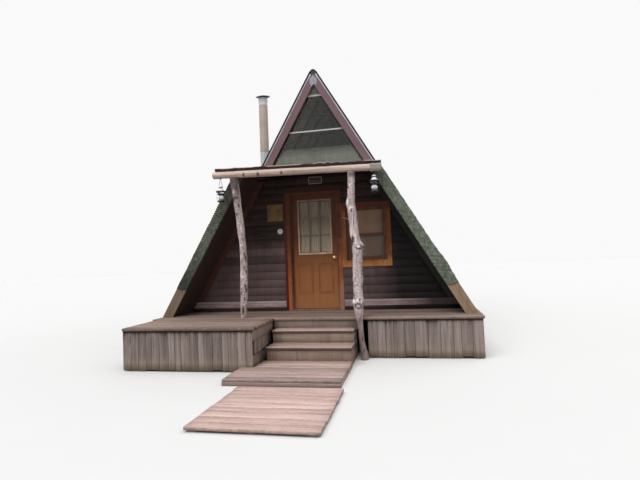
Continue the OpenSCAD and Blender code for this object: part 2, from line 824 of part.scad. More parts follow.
right_knots = [[8.1, 200, 22, 0.5], [8.4, 320, 18, 0.5], [7.7, 80, 16, 0.4], [13.6, 350, 44, 0.42],
    [13.2, 190, 12, 0.4], [15.3, 185, 12, 0.5], [18.1, 190, 20, 0.4], [17.2, 250, 10, 0.3],
    [10.6, 10, 8, 0.4], [20.5, 30, 7, 0.3]];

module post_left() {
    x = left_rings[len(left_rings) - 1][0];
    color("rosybrown") place()
        log_sweep([for (i = [0 : len(left_rings) - 1])
            i < len(left_rings) - 1 ? left_rings[i]
                : [x, -920, beam_axis(x) - beam_r(x) - 3, 64]], left_knots, 3, 16);
}

// The right post stands on the ground before the deck, with a stub of a twig on its left
module post_right() {
    last = len(right_rings) - 1;
    x = right_rings[last][0];
    color("rosybrown") place() {
        log_sweep([for (i = [0 : last])
            i < last ? right_rings[i] : [x, -920, beam_axis(x) - beam_r(x) - 3, 54]], right_knots, 3, 16);
        translate([790, -920, 1500]) rotate([0, -82, 0]) cylinder(r1 = 12, r2 = 7, h = 125, $fn = 16);
    }
}

// Flue

flue_foot = 1420;
pipe_top = flue_top - 30;

module flue_pipe() {
    color("tan") place() translate([-flue_x, flue_y, 0]) difference() {
        union() {
            translate([0, 0, flue_foot]) cylinder(r = flue_r, h = pipe_top - flue_foot, $fn = 64);
            translate([0, 0, 3440]) cylinder(r = flue_r + 3, h = 30, $fn = 64);
            translate([0, 0, pipe_top - 90]) cylinder(r = flue_r + 3, h = 90, $fn = 64);
        }
        translate([0, 0, flue_foot - 1]) cylinder(r = flue_r - 25, h = flue_top, $fn = 64);
    }
}

// A cone round the pipe on a plate that lies on the roof
module flue_flashing() {
    t = rafter_d + skin_t;
    z0 = (hx(t, 0) - flue_x) * tan(roof_slope);
    color("silver") place() difference() {
        union() {
            translate([-flue_x, flue_y, z0]) rotate([0, -roof_slope, 0])
                translate([-240, -220, 0.5]) cube([480, 440, 3]);
            translate([-flue_x, flue_y, z0 - 180])
                cylinder(r1 = flue_r + 100, r2 = flue_r + 12, h = 480, $fn = 64);
        }
        translate([-flue_x, flue_y, 0]) cylinder(r = flue_r + 1, h = 3000, $fn = 64);
        translate([-flue_x, flue_y, z0]) rotate([0, -roof_slope, 0])
            translate([-900, -500, -900.5]) cube([1800, 1000, 901]);
    }
}

// Rain cap: a collar on the pipe's end, four straps and a low plate that dips to the front
module flue_cap() {
    dip = 9;
    color("black") place() translate([-flue_x, flue_y, pipe_top + fit_gap]) {
        difference() {
            cylinder(r = flue_r + 1, h = 5, $fn = 64);
            translate([0, 0, -1]) cylinder(r = flue_r - 18, h = 7, $fn = 64);
        }
        for (a = [45 : 90 : 315])
            rotate(a) translate([flue_r - 8, -10, 0]) cube([4, 20, sin(a) > 0 ? 46 : 26]);
        translate([0, 0, 33]) rotate([dip, 0, 0]) {
            cylinder(r = 165, h = 6, $fn = 64);
            translate([0, 0, 6]) cylinder(r1 = 165, r2 = 60, h = 26, $fn = 64);
        }
    }
}

// Lanterns

// One hanging lantern, its top at the origin: hook plate, hook, cap, flared shade, brim and cage
module lantern(hook) {
    color("black") {
        translate([0, 0, -6]) cylinder(r = 26, h = 6, $fn = 48);
        translate([0, 0, -hook]) cylinder(r = 5, h = hook - 5, $fn = 24);
        translate([0, 0, -hook]) rotate_extrude($fn = 64)
            polygon([[0, 0], [13, 0], [27, -8], [33, -20], [30, -27], [20, -32], [22, -40], [30, -46],
                [40, -62], [58, -82], [79, -87], [79, -106], [56, -113], [48, -124], [52, -138],
                [66, -160], [71, -190], [67, -222], [56, -244], [60, -250], [60, -264], [0, -268]]);
    }
}

module lanterns() {
    left_x = -1367;
    left_top = beam_axis(left_x) - beam_r(left_x) - 1;
    place() {
        translate([1160, beam_y, block_foot - fit_gap]) lantern(50);
        translate([left_x, beam_y, left_top]) lantern(117);
    }
}

// Bare sheet on the wall left of the door, a small bare plate over the door and the dial
module wall_plates() {
    color("goldenrod") place() {
        block([-880, -8, 1597], [-588, 0, 1902]);
        block([-103, -10, 2226], [143, 0, 2350]);
        translate([-650, 0, 1412]) rotate([90, 0, 0]) cylinder(r = 52, h = 14, $fn = 64);
    }
}

floor();
floor_joists();
deck_boards();
deck_joists();
deck_fascia();
skirt_front_left();
skirt_front_right();
skirt_left();
skirt_right();
skirt_back();
step_treads();
step_boxes();
landing();
boardwalk();
front_wall_left();
front_wall_right();
front_wall_over_door();
back_wall();
gable_glass();
gable_frame();
gable_bars();
roof_left();
roof_right();
rafters();
ridge_cap();
wing_frames();
wing_roofing_left();
wing_roofing_right();
rake_boards();
wall_trim();
door_frame();
door_casing();
door_slab();
door_lite_frame();
door_glass();
door_knob();
door_hinges();
window_casings();
window_sashes();
window_glass();
window_shades();
porch_roof();
porch_roofing();
porch_beam();
post_left();
post_right();
flue_pipe();
flue_flashing();
flue_cap();
lanterns();
wall_plates();
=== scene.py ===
"""Visual model of a small A-frame cabin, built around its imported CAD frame."""
import math

import bpy
import numpy as np
from mathutils import Matrix


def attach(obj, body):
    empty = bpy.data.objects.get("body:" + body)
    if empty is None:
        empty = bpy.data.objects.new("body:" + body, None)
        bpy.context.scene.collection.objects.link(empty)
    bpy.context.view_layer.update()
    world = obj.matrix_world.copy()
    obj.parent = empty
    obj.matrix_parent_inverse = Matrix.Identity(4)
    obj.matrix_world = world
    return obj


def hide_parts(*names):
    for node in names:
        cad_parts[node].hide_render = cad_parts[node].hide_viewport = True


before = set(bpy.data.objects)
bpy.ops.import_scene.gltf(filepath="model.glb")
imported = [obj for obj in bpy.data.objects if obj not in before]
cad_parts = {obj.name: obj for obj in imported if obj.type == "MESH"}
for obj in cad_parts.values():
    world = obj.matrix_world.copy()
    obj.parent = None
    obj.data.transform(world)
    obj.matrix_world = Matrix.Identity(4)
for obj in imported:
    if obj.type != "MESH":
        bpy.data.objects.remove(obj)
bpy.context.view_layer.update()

bl_info = {
    "name": "A-frame cabin",
    "version": (1, 0, 0),
    "blender": (4, 5, 0),
    "location": "3D View > Sidebar > Cabin",
    "description": "Boards, roofing, logs, fittings and finishes of a small A-frame cabin",
    "category": "Add Mesh",
}

# Sizes of the source, in metres, measured from the deck's top at the front siding
MID = 0.4745
DECK = 0.61
SLOPE = math.radians(59.8)
SIN, COS, TAN = math.sin(SLOPE), math.cos(SLOPE), math.tan(SLOPE)
ROOF_IN = 2.410
SKIN = 0.156
ROOF_Y0, ROOF_Y1 = 0.262, 5.020
GABLE_Y = 0.292
BACK_Y = 4.877
BEAM_Y = -0.920
BEAM_X0, BEAM_X1 = -1.485, 1.085
BLOCK_FOOT = 2.199
PORCH_Z = 2.350
PORCH_TILT, PORCH_PITCH = math.radians(1.4), math.radians(3.0)
PORCH_X0, PORCH_X1, PORCH_BACK_X1 = -1.447, 1.252, 1.172
PORCH_V0, PORCH_V1 = -0.033, 1.176
PORCH_BOARD = 0.025
DOOR_HOLE = (-0.490, 0.412, -0.1, 2.103)
DOOR_Y = 0.070
LIGHT = (-0.3455, 0.2765, 0.979, 1.959)
LIGHT_RIM = 0.034
WINDOW = (0.537, 1.235, 0.850, 1.773)
WINDOW_MIDDLE, WINDOW_HALF = (WINDOW[0] + WINDOW[1]) / 2, (WINDOW[1] - WINDOW[0]) / 2

# The deck and the way up to it
LUMBER = 0.038
STRIP = (-2.592, 2.627, -1.026, -0.001)
PLATFORM = (-2.500, -0.507, -1.971, -1.029)
PLATFORM_SKIRT_Y, STRIP_SKIRT_Y = -1.932, -0.987
SIDE_SKIRT_X, PLATFORM_SKIRT_X = 2.553, -0.527
SKIRT_TOP, SKIRT_THICK = -0.0385, 0.019
STEP_X0, STEP_X1, STEP_BACK = -0.457, 0.770, -1.007
TREAD_TOPS = (-0.150, -0.340)
LANDING_X0, LANDING_X1, LANDING_Y0, LANDING_Y1 = -0.700, 0.780, -2.600, -1.954
LANDING_TOP, WALK_TOP = -DECK + 0.080, -DECK + 0.050
SKIRT_END_X = 2.607
TREAD_Y, RISER_Y, TREAD_JOINT_Y = (-1.278, -1.584), (-1.257, -1.564), -1.259
LANDING_STRIP_X0, LANDING_STRIP_Y1 = -0.505, -1.566
WALK = (-0.420, 0.847, -4.075, -2.765)
SLEEPERS_X = (-0.3355, 0.2145, 0.7625)
FRONT_SIDING_TOP, BACK_SIDING_TOP = 2.366, 3.92

LEFT, RIGHT, FRONT, BACK, UP = (-1, 0, 0), (1, 0, 0), (0, -1, 0), (0, 1, 0), (0, 0, 1)


def row(points):
    """Points measured from the deck's top at the front siding, moved to the row frame."""
    return np.asarray(points, float) + np.array([0.0, -MID, DECK])


def grid(x, y, z):
    """Points of a grid whose coordinates are spread over each other."""
    return np.stack(np.broadcast_arrays(x, y, z), axis=-1)


def half_width(t, z):
    """Half width of a line lying t outside the rafters' inner face, at height z: the half width
    at the deck, plus t over the slope's sine, less z over its tangent."""
    return ROOF_IN + t / SIN - z / TAN


def roof_points(side, s, t, y):
    """Points at a distance s up the slope from the deck's level, t out from the rafters' inner
    face and y along the cabin."""
    return grid(side * (ROOF_IN - s * COS + t * SIN), y, s * SIN + t * COS)


def porch_place(x, v, w):
    """Points of the tilted porch roof: x along it, v back from the beam's axis, w up from its
    underside, turned by the pitch about X and then by the tilt about Y."""
    y = v * math.cos(PORCH_PITCH) - w * math.sin(PORCH_PITCH)
    z = v * math.sin(PORCH_PITCH) + w * math.cos(PORCH_PITCH)
    return grid(x * math.cos(PORCH_TILT) + z * math.sin(PORCH_TILT), y + BEAM_Y,
                -x * math.sin(PORCH_TILT) + z * math.cos(PORCH_TILT) + PORCH_Z)


def porch_end(v):
    """The porch roof's right end, which draws in evenly from the front edge to the wall."""
    return PORCH_X1 - (PORCH_X1 - PORCH_BACK_X1) * (v + 0.078) / 1.256


def beam_radius(x):
    """Radius of the log beam at x, less and less towards its right end."""
    return 0.0575 - 0.004 * (x - BEAM_X0) / (BEAM_X1 - BEAM_X0)


def beam_under(x):
    """Height of the log beam's lowest line at x: the porch roof's underside, less a small gap and
    the beam's thickness."""
    return PORCH_Z - x * math.tan(PORCH_TILT) - 0.0012 - 2 * beam_radius(x)


def bell(x, middle, width):
    """A bell of height 1: the exponential of minus the squared distance over the width."""
    return np.exp(-((x - middle) / width) ** 2)


def ripple(seed, count, *coords):
    """Smooth repeatable unevenness about 0: the mean of count sines of the given coordinates,
    each with its own direction, pitch and phase. Each coordinate is an array and its pitch."""
    rng = np.random.default_rng(seed)
    total = 0.0
    for _ in range(count):
        phase = rng.uniform(0, 2 * np.pi)
        for values, pitch in coords:
            phase = phase + values * rng.normal(0, 2 * np.pi / pitch)
        total = total + np.sin(phase)
    return total / math.sqrt(count)


def put(name, part, look, replaces=(), body="cabin", smooth=False):
    """A mesh of a part's points and faces, turned outwards by the sign of its volume, riding on
    a body. The part's fields are kept at each point for the material."""
    points, faces, fields = part
    points = np.ascontiguousarray(row(points).reshape(-1, 3))
    faces = [np.asarray(f, int) for f in faces]
    volume = 0.0
    for f in faces:
        corner = points[f]
        for k in range(1, f.shape[1] - 1):
            volume += float(np.sum(corner[:, 0] * np.cross(corner[:, k], corner[:, k + 1])))
    if volume < 0:
        faces = [f[:, ::-1] for f in faces]
    loops = np.concatenate([f.ravel() for f in faces])
    sizes = np.concatenate([np.full(len(f), f.shape[1]) for f in faces])
    mesh = bpy.data.meshes.new(name)
    mesh.vertices.add(len(points))
    mesh.vertices.foreach_set("co", points.ravel())
    mesh.loops.add(len(loops))
    mesh.loops.foreach_set("vertex_index", loops)
    mesh.polygons.add(len(sizes))
    mesh.polygons.foreach_set("loop_start", np.concatenate([[0], np.cumsum(sizes)[:-1]]))
    if smooth:
        mesh.polygons.foreach_set("use_smooth", np.ones(len(sizes), bool))
    mesh.update(calc_edges=True)
    mesh.validate()
    for field, values in fields.items():
        kind, key = ("FLOAT_VECTOR", "vector") if values.ndim > 1 else ("FLOAT", "value")
        values = np.ascontiguousarray(values, dtype=np.float32)
        mesh.attributes.new(field, kind, "POINT").data.foreach_set(key, values.ravel())
    mesh.materials.append(finish(look))
    piece = bpy.data.objects.new(name, mesh)
    bpy.context.scene.collection.objects.link(piece)
    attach(piece, body)
    if replaces:
        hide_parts(*replaces)
    return piece


def join(*parts):
    """Several parts put together as one, their faces' numbers moved up."""
    points, faces, fields, base = [], [], {}, 0
    for p, f, extra in parts:
        p = np.asarray(p, float).reshape(-1, 3)
        points.append(p)
        faces += [np.asarray(g, int) + base for g in f]
        for key, value in extra.items():
            fields.setdefault(key, []).append(value)
        base += len(p)
    return np.concatenate(points), faces, {k: np.concatenate(v) for k, v in fields.items()}


def plain(part):
    """The same part without its fields."""
    return (*part[:2], {})


def tube(rings, sides):
    """Faces of a tube: quads from each ring to the next, a cap on the first and on the last."""
    j, i = np.meshgrid(np.arange(rings - 1), np.arange(sides), indexing="ij")
    a, b = j * sides + i, j * sides + (i + 1) % sides
    cap = np.arange(sides)[None]
    return [np.stack([a, b, b + sides, a + sides], axis=-1).reshape(-1, 4), cap[:, ::-1],
            (rings - 1) * sides + cap]


def repeated(faces, count, points):
    """The same faces for each of count shapes that have so many points, one after another."""
    base = np.arange(count)[:, None, None] * points
    return [(base + f).reshape(-1, f.shape[1]) for f in faces]


def boards(start, end, across, out, width, thick, seed, edge=0.003, skew=(0.0, 0.0), lean=0.0,
           bow=0.0, sections=6, rough=0.0):
    """Sawn boards: an eight-sided outline, a rectangle with its corners planed off, carried from
    each start to each end. skew slants an end across the width, lean tips the lower edge out,
    bow and rough bend the faces a little. The fields are the grain's place and the tone."""
    start, end = np.atleast_2d(start).astype(float), np.atleast_2d(end).astype(float)
    n = len(start)
    width, thick, skew0, skew1 = (np.broadcast_to(k, n).astype(float)[:, None]
                                  for k in (width, thick, *skew))
    rng = np.random.default_rng(seed)
    across, out = np.asarray(across, float), np.asarray(out, float)
    c = np.minimum(edge, 0.3 * np.minimum(width, thick))
    h, t = width / 2, thick
    v = np.concatenate([-h + c, h - c, h, h, h - c, -h + c, -h, -h], axis=1)
    q = np.concatenate([0 * c, 0 * c, c, t - c, t, t, t - c, c], axis=1)
    s = np.linspace(0, 1, sections + 1)[None, :, None]
    length = np.linalg.norm(end - start, axis=1)[:, None]
    along = (end - start) / length
    v, q = v[:, None, :] + 0 * s, q[:, None, :] + 0 * s
    u = s * length[:, None] + v * (skew0[:, None] * (1 - s) + skew1[:, None] * s)
    kick = rng.normal(0, 1, (n, 1, 1))
    wave = ripple(seed + 1, 5, (u + kick * 7, 0.9), (v, 0.5))
    q_set = q + lean * (0.5 - v / width[:, None]) + bow * kick * np.sin(np.pi * s)
    q_set = q_set + rough * wave * (q > thick[:, None] / 2)
    v_set = v + 0.6 * rough * ripple(seed + 2, 5, (u + kick * 5, 0.7))
    points = (start[:, None, None, :] + along[:, None, None, :] * u[..., None]
              + across * v_set[..., None] + out * q_set[..., None])
    faces = repeated(tube(sections + 1, 8), n, (sections + 1) * 8)
    grain = np.stack([u, v, q], axis=-1) + rng.uniform(0, 20, (n, 1, 1, 3))
    tone = np.broadcast_to(rng.uniform(0, 1, (n, 1, 1)), u.shape)
    return points.reshape(-1, 3), faces, {"grain": grain.reshape(-1, 3), "tone": tone.ravel()}


def rows_of(low, high, target, gap, seed, spread):
    """Boards laid side by side between two lines: their middles and widths, near a target width
    with an even gap, and uneven by spread."""
    count = max(1, round((high - low) / target))
    share = 1 + spread * np.random.default_rng(seed).uniform(-1, 1, count)
    widths = share / share.sum() * (high - low)
    edges = low + np.concatenate([[0], np.cumsum(widths)])
    return (edges[:-1] + edges[1:]) / 2, widths - gap


def floor_boards(x0, x1, y0, y1, top, thick, target, seed, gap=0.006, rough=0.0012, drop=0.0):
    """A level floor of boards along X, their ends drawn back by up to drop."""
    middle, width = rows_of(y0, y1, target, gap, seed, 0.06)
    back = np.abs(np.random.default_rng(seed + 9).uniform(-drop, drop, (2, len(middle))))
    return boards(grid(x0 + back[0], middle, top - thick), grid(x1 - back[1], middle, top - thick),
                  BACK, UP, width, thick, seed, rough=rough, sections=10)


def fence_boards(a, b, out, target, seed, gap=0.004, ragged=0.032):
    """Upright skirt boards from level 0 up, along the line from a to b, with ragged feet."""
    a, b = np.asarray(a, float), np.asarray(b, float)
    length = np.linalg.norm(b - a)
    middle, width = rows_of(0, length, target, gap, seed, 0.28)
    rng = np.random.default_rng(seed + 5)
    line = (b - a) / length
    foot = a + middle[:, None] * line
    start = np.column_stack([foot, -DECK + rng.uniform(0, ragged, len(middle))])
    end = np.column_stack([foot, np.full(len(middle), SKIRT_TOP)])
    push = rng.uniform(-0.0015, 0.0015, len(middle))[:, None] * np.asarray(out, float)
    return boards(start + push, end + push, (*line, 0), out, width, SKIRT_THICK, seed,
                  rough=0.0012, bow=0.001, sections=5)


def stacked_boards(a, b, high, out, seed, rough=0.0, sections=6):
    """Level boards of about 16 cm one over another, from level 0 up, along the line a to b."""
    edges = np.linspace(-DECK, high, max(1, round((high + DECK) / 0.16)) + 1)
    middle, width = (edges[:-1] + edges[1:]) / 2, np.diff(edges) - 0.004
    return boards(grid(*a, middle), grid(*b, middle), UP, out, width, LUMBER, seed, rough=rough,
                  sections=sections)


def siding_courses(height, y, out, holes, top, seed):
    """Lapped siding up a wall: in each course one board for each stretch between the holes, its
    ends slanted where it meets the roof, its lower edge standing out over the board below."""
    starts, ends, skews = [], [], ([], [])
    for k in range(math.ceil(top / height)):
        low, high = k * height, min((k + 1) * height, top)
        z = (low + high) / 2 + 0.006
        wall_end = half_width(-0.012, z)
        cuts = [(-wall_end, 1 / TAN), (wall_end, -1 / TAN)]
        for x0, x1, z0, z1 in holes:
            if z1 > low + 0.02 and z0 < high - 0.02:
                cuts += [(x0, 0.0), (x1, 0.0)]
        cuts.sort(key=lambda cut: cut[0])
        for (x0, skew0), (x1, skew1) in zip(cuts[::2], cuts[1::2]):
            if x1 - x0 > 0.06:
                starts.append([x0 + 0.002, y, z])
                ends.append([x1 - 0.002, y, z])
                skews[0].append(skew0)
                skews[1].append(skew1)
    return boards(starts, ends, UP, out, height + 0.012, 0.009, seed, skew=skews, lean=0.008,
                  rough=0.0006, sections=10)


def slope_bar(side, t0, t1, z0, z1, y0, y1, seed):
    """A straight batten that lies along one roof plane, between two offsets, heights and depths."""
    t, skew = (t0 + t1) / 2, -COS / SIN
    return boards((side * half_width(t, z0), y1, z0), (side * half_width(t, z1), y1, z1),
                  (side * SIN, 0, COS), FRONT, t1 - t0, y1 - y0, seed, edge=0.002,
                  skew=(skew, skew), sections=24, rough=0.0006)


def lathe(profile, centre, sides=48, axis="z"):
    """A turned shape: the outline of radius and height goes once round its axis, and the first
    and the last ring are closed by a cap."""
    profile = np.asarray(profile, float)
    angle = np.linspace(0, 2 * np.pi, sides, endpoint=False)
    r, h = profile[:, :1], profile[:, 1:]
    x, y = r * np.cos(angle), r * np.sin(angle)
    points = grid(x, -h, y) if axis == "y" else grid(x, y, h)
    return (points + np.asarray(centre, float)).reshape(-1, 3), tube(len(profile), sides), {}


def shell(top, bottom):
    """A closed sheet between two grids of the same shape: both faces, and walls along the rim."""
    n, m = top.shape[:2]
    points = np.concatenate([top.reshape(-1, 3), bottom.reshape(-1, 3)])
    j, i = np.meshgrid(np.arange(n - 1), np.arange(m - 1), indexing="ij")
    a = j * m + i
    upper = np.stack([a, a + 1, a + m + 1, a + m], axis=-1).reshape(-1, 4)
    lower = upper[:, ::-1] + n * m
    rim = np.concatenate([np.arange(m), np.arange(1, n) * m + m - 1,
                          (n - 1) * m + np.arange(m - 2, -1, -1), np.arange(n - 2, 0, -1) * m])
    ahead = np.roll(rim, -1)
    wall = np.stack([ahead, rim, rim + n * m, ahead + n * m], axis=-1)
    return points, [upper, lower, wall], {}


def smooth_rings(rings, per):
    """Rings (x, y, z, radius) along a smooth curve through the given ones: the Catmull-Rom
    cubic of four neighbours, with per steps between two of them."""
    rings = np.asarray(rings, float)
    last = len(rings) - 1
    u = np.linspace(0, last, last * per + 1)
    i = np.minimum(np.floor(u).astype(int), last - 1)
    s = (u - i)[:, None]
    a, b = rings[np.maximum(i - 1, 0)], rings[i]
    c, d = rings[i + 1], rings[np.minimum(i + 2, last)]
    return u, 0.5 * (2 * b + (c - a) * s + (2 * a - 5 * b + 4 * c - d) * s * s
                     + (3 * b - a - 3 * c + d) * s ** 3)


def log(rings, knots, per, sides, upright, seed, bark=0.0, marks=()):
    """A crooked log: level or cross rings along the smooth curve, lifted at each knot by a bell
    of its distance along and a cubed cosine round the log, and by fine grooves along the wood.
    marks are scars on the front, and a few broad ones are painted shade and painted highlights;
    each is a bell of x and z, dark when positive and pale when negative."""
    u, ring = smooth_rings(rings, per)
    x, y, z, radius = (ring[:, k:k + 1] for k in range(4))
    angle = np.linspace(0, 2 * np.pi, sides, endpoint=False)[None, :]
    lift = np.zeros((len(u), sides))
    for place, at, height, reach in knots:
        side = np.maximum(0, np.cos(angle - math.radians(at)))
        lift = np.maximum(lift, height * bell(u[:, None], place, reach) * side ** 3)
    along = z if upright else x
    rng = np.random.default_rng(seed)
    groove = 0.0
    for _ in range(14):
        m = rng.integers(2, 15)
        turn = m * angle + along * rng.normal(0, 9) + rng.uniform(0, 6.28)
        groove = groove + np.sin(turn) / math.sqrt(m)
    groove = groove + 0.9 * ripple(seed + 3, 8, (along, 0.11), (np.cos(angle), 1.6),
                                   (np.sin(angle), 1.6))
    r = radius + lift + bark * groove
    if upright:
        points, front = grid(x + r * np.cos(angle), y + r * np.sin(angle), z), np.sin(angle)
    else:
        points, front = grid(x, y + r * np.cos(angle), z + r * np.sin(angle)), np.cos(angle)
    grain = grid(along, 0.06 * np.cos(angle), 0.06 * np.sin(angle))
    mark = 0 * lift
    for px, pz, wide, high, value in marks:
        away = ((points[..., 0] - px) / wide) ** 2 + ((points[..., 2] - pz) / high) ** 2
        mark = mark + value * np.exp(-away)
    mark = mark * np.clip(0.3 - 2 * front, 0, 1)
    knot = lift / max(lift.max(), 1e-6)
    fields = {"grain": grain.reshape(-1, 3), "tone": np.full(knot.size, 0.5),
              "knot": knot.ravel(), "mark": mark.ravel()}
    return points.reshape(-1, 3), tube(len(u), sides), fields


def studs(places, out, radius=0.004):
    """Nail heads: low domes of two rings and a tip, six-sided, all in one mesh."""
    out = np.asarray(out, float) / np.linalg.norm(out)
    side = np.cross(out, (0.3, 0.2, 0.93))
    side /= np.linalg.norm(side)
    angle = np.arange(6) * np.pi / 3
    circle = np.cos(angle)[:, None] * side + np.sin(angle)[:, None] * np.cross(out, side)
    shape = np.concatenate([circle * radius - out * 0.002, circle * radius * 0.8 + out * 0.0014,
                            circle * 0.001 + out * 0.002])
    points = np.asarray(places, float)[:, None, :] + shape
    return points.reshape(-1, 3), repeated(tube(3, 6), len(places), len(shape)), {}


def feed(socket, value):
    """Joins a value to a socket or sets a constant there, a colour with its alpha of 1."""
    if isinstance(value, Value):
        value.tree.links.new(value.socket, socket)
    elif socket.type == "RGBA":
        socket.default_value = (*value, 1.0)
    else:
        socket.default_value = value


def wire(tree, kind, links=None, **settings):
    """One node with its settings, and what goes into its sockets."""
    node = tree.nodes.new(kind)
    for key, value in settings.items():
        setattr(node, key, value)
    for key, value in (links or {}).items():
        feed(node.inputs[key], value)
    return node


class Value:
    """A number, vector or colour in a shader, with the sums that nodes do on it."""

    def __init__(self, socket):
        """Keeps the socket that the value comes out of, and its tree."""
        self.socket, self.tree = socket, socket.id_data

    def node(self, kind, links, output=0, **settings):
        """What comes out of one new node beside this value."""
        return Value(wire(self.tree, kind, links, **settings).outputs[output])

    def sum(self, operation, other=0.0):
        """One of the Math node's sums on this value and another."""
        return self.node("ShaderNodeMath", {0: self, 1: other}, operation=operation)

    def __add__(self, other):
        """This value plus another."""
        return self.sum("ADD", other)

    def __sub__(self, other):
        """This value less another."""
        return self.sum("SUBTRACT", other)

    def __mul__(self, other):
        """This value times another."""
        return self.sum("MULTIPLY", other)

    def __abs__(self):
        """This value without its sign."""
        return self.sum("ABSOLUTE")

    def most(self, other):
        """The greater of two values."""
        return self.sum("MAXIMUM", other)

    def least(self, other):
        """The smaller of two values."""
        return self.sum("MINIMUM", other)

    def span(self, low, high, to_low=0.0, to_high=1.0):
        """The value carried from one range to another, held at the ends."""
        return self.node("ShaderNodeMapRange", {"Value": self, "From Min": low, "From Max": high,
                                                "To Min": to_low, "To Max": to_high}, clamp=True)

    def band(self, low, high, soft):
        """1 between low and high and nothing outside them, with edges that are twice soft wide."""
        return self.span(low - soft, low + soft) * self.span(high - soft, high + soft, 1.0, 0.0)

    def mapped(self, **how):
        """The vector turned and scaled."""
        return self.node("ShaderNodeMapping", {"Vector": self, **how})

    def noise(self, scale, detail=4.0, rough=0.55, squeeze=None, distortion=0.0):
        """Smooth noise at this vector, which may be scaled on each axis first."""
        vector = self.mapped(Scale=squeeze) if squeeze else self
        return self.node("ShaderNodeTexNoise",
                         {"Vector": vector, "Scale": scale, "Detail": detail, "Roughness": rough,
                          "Distortion": distortion}, "Fac")


def mix(share, under, over, blend="MIX"):
    """A colour with another one laid over it by its share."""
    value = share if isinstance(share, Value) else under
    return value.node("ShaderNodeMix", {0: share, 6: under, 7: over}, 2, data_type="RGBA",
                      blend_type=blend, clamp_factor=True)


def dim(colour, share):
    """A colour times a share, no channel over 1."""
    return tuple(min(1.0, share * k) for k in colour)


def shared_group(name, work, **inputs):
    """A shader group with named sockets. work takes the inputs as a dictionary, and gives the
    outputs as one; a colour goes in as three numbers, and the one called Color comes out."""
    tree = bpy.data.node_groups.new(name, "ShaderNodeTree")
    tree.interface.new_socket(name="Vector", in_out="INPUT", socket_type="NodeSocketVector")
    for key, default in inputs.items():
        kind = "NodeSocketColor" if isinstance(default, tuple) else "NodeSocketFloat"
        socket = tree.interface.new_socket(name=key, in_out="INPUT", socket_type=kind)
        socket.default_value = (*default, 1.0) if isinstance(default, tuple) else default
    given = tree.nodes.new("NodeGroupInput").outputs
    results = work({s.name: Value(s) for s in given if s.name})
    for key in results:
        kind = "NodeSocketColor" if key == "Color" else "NodeSocketFloat"
        tree.interface.new_socket(name=key, in_out="OUTPUT", socket_type=kind)
    wire(tree, "NodeGroupOutput", results)
    return tree


def grain_work(given):
    """Wood grain: a slow noise stretched along the fibres gives the bands, a fast one the fibres,
    a wave across gives the growth rings and cells give a few knots. Tone shifts each board."""
    v, dark = given["Vector"], given["Dark"]
    bands = v.noise(1.0, 6, 0.6, (1.4, 34, 34))
    fibre = v.noise(1.0, 4, 0.7, (7, 330, 330))
    rings = v.node("ShaderNodeTexWave", {"Vector": v.mapped(Scale=(0.35, 1, 1)), "Scale": 26.0,
                                         "Distortion": 9.0, "Detail": 3.0, "Detail Scale": 1.6},
                   "Fac", wave_type="BANDS", bands_direction="Y")
    cell = v.node("ShaderNodeTexVoronoi", {"Vector": v.mapped(Scale=(1.3, 6, 6)), "Scale": 1.0,
                                           "Randomness": 1.0}, "Distance")
    knot = cell.span(0.05, 0.16, 1.0, 0.0)
    pattern = (bands * 0.62 + fibre * 0.26 + rings * 0.14 - 0.5) * given["Contrast"]
    share = (pattern * 2.6 + 0.5 + (given["Tone"] - 0.5) * given["Spread"]).span(0.0, 1.0)
    colour = mix(share, dark, given["Light"])
    colour = mix(knot * 0.75, colour, mix(0.55, colour, dark, "MULTIPLY"))
    return {"Color": colour, "Height": bands * 0.5 + fibre * 0.5 - knot * 0.2, "Fibre": fibre}


def weather_work(given):
    """Weather: broad blotches, streaks that run down, and fine specks, each as a mask."""
    v = given["Vector"]
    scaled = v.node("ShaderNodeVectorMath", {0: v, "Scale": given["Size"]}, operation="SCALE")
    return {"Blotch": scaled.noise(2.3, 5, 0.6).span(0.42, 0.68),
            "Streak": scaled.noise(1.0, 5, 0.62, (17, 17, 1.1)).span(0.46, 0.72),
            "Speck": scaled.noise(42.0, 3, 0.6).span(0.52, 0.72)}


def granule_work(given):
    """Mineral roofing: pale, green and dark stones as small cells, with slow fading and stains."""
    v = given["Vector"]
    stone = v.node("ShaderNodeTexVoronoi", {"Vector": v, "Scale": 420.0}, "Color")
    grey = v.node("ShaderNodeSeparateColor", {"Color": stone})
    clump, slow = v.noise(55.0, 4, 0.65), v.noise(1.7, 5, 0.6)
    run = v.noise(1.0, 4, 0.6, (9, 9, 1.2)).span(0.5, 0.75)
    share = (grey * 0.34 + clump * 0.42 + slow * 0.34 - run * 0.22).span(0.2, 0.78)
    return {"Color": mix(share, given["Dark"], given["Light"]), "Height": grey * 0.5 + clump * 0.5}


GROUP_MAKERS = {
    "Board grain": lambda name: shared_group(
        name, grain_work, Tone=0.5, Light=(0.4, 0.35, 0.3), Dark=(0.1, 0.08, 0.07), Spread=0.5,
        Contrast=1.0),
    "Weather": lambda name: shared_group(name, weather_work, Size=1.0),
    "Roofing granules": lambda name: shared_group(
        name, granule_work, Light=(0.3, 0.34, 0.28), Dark=(0.08, 0.1, 0.08)),
}
MADE_GROUPS = {}
MADE_FINISHES = {}


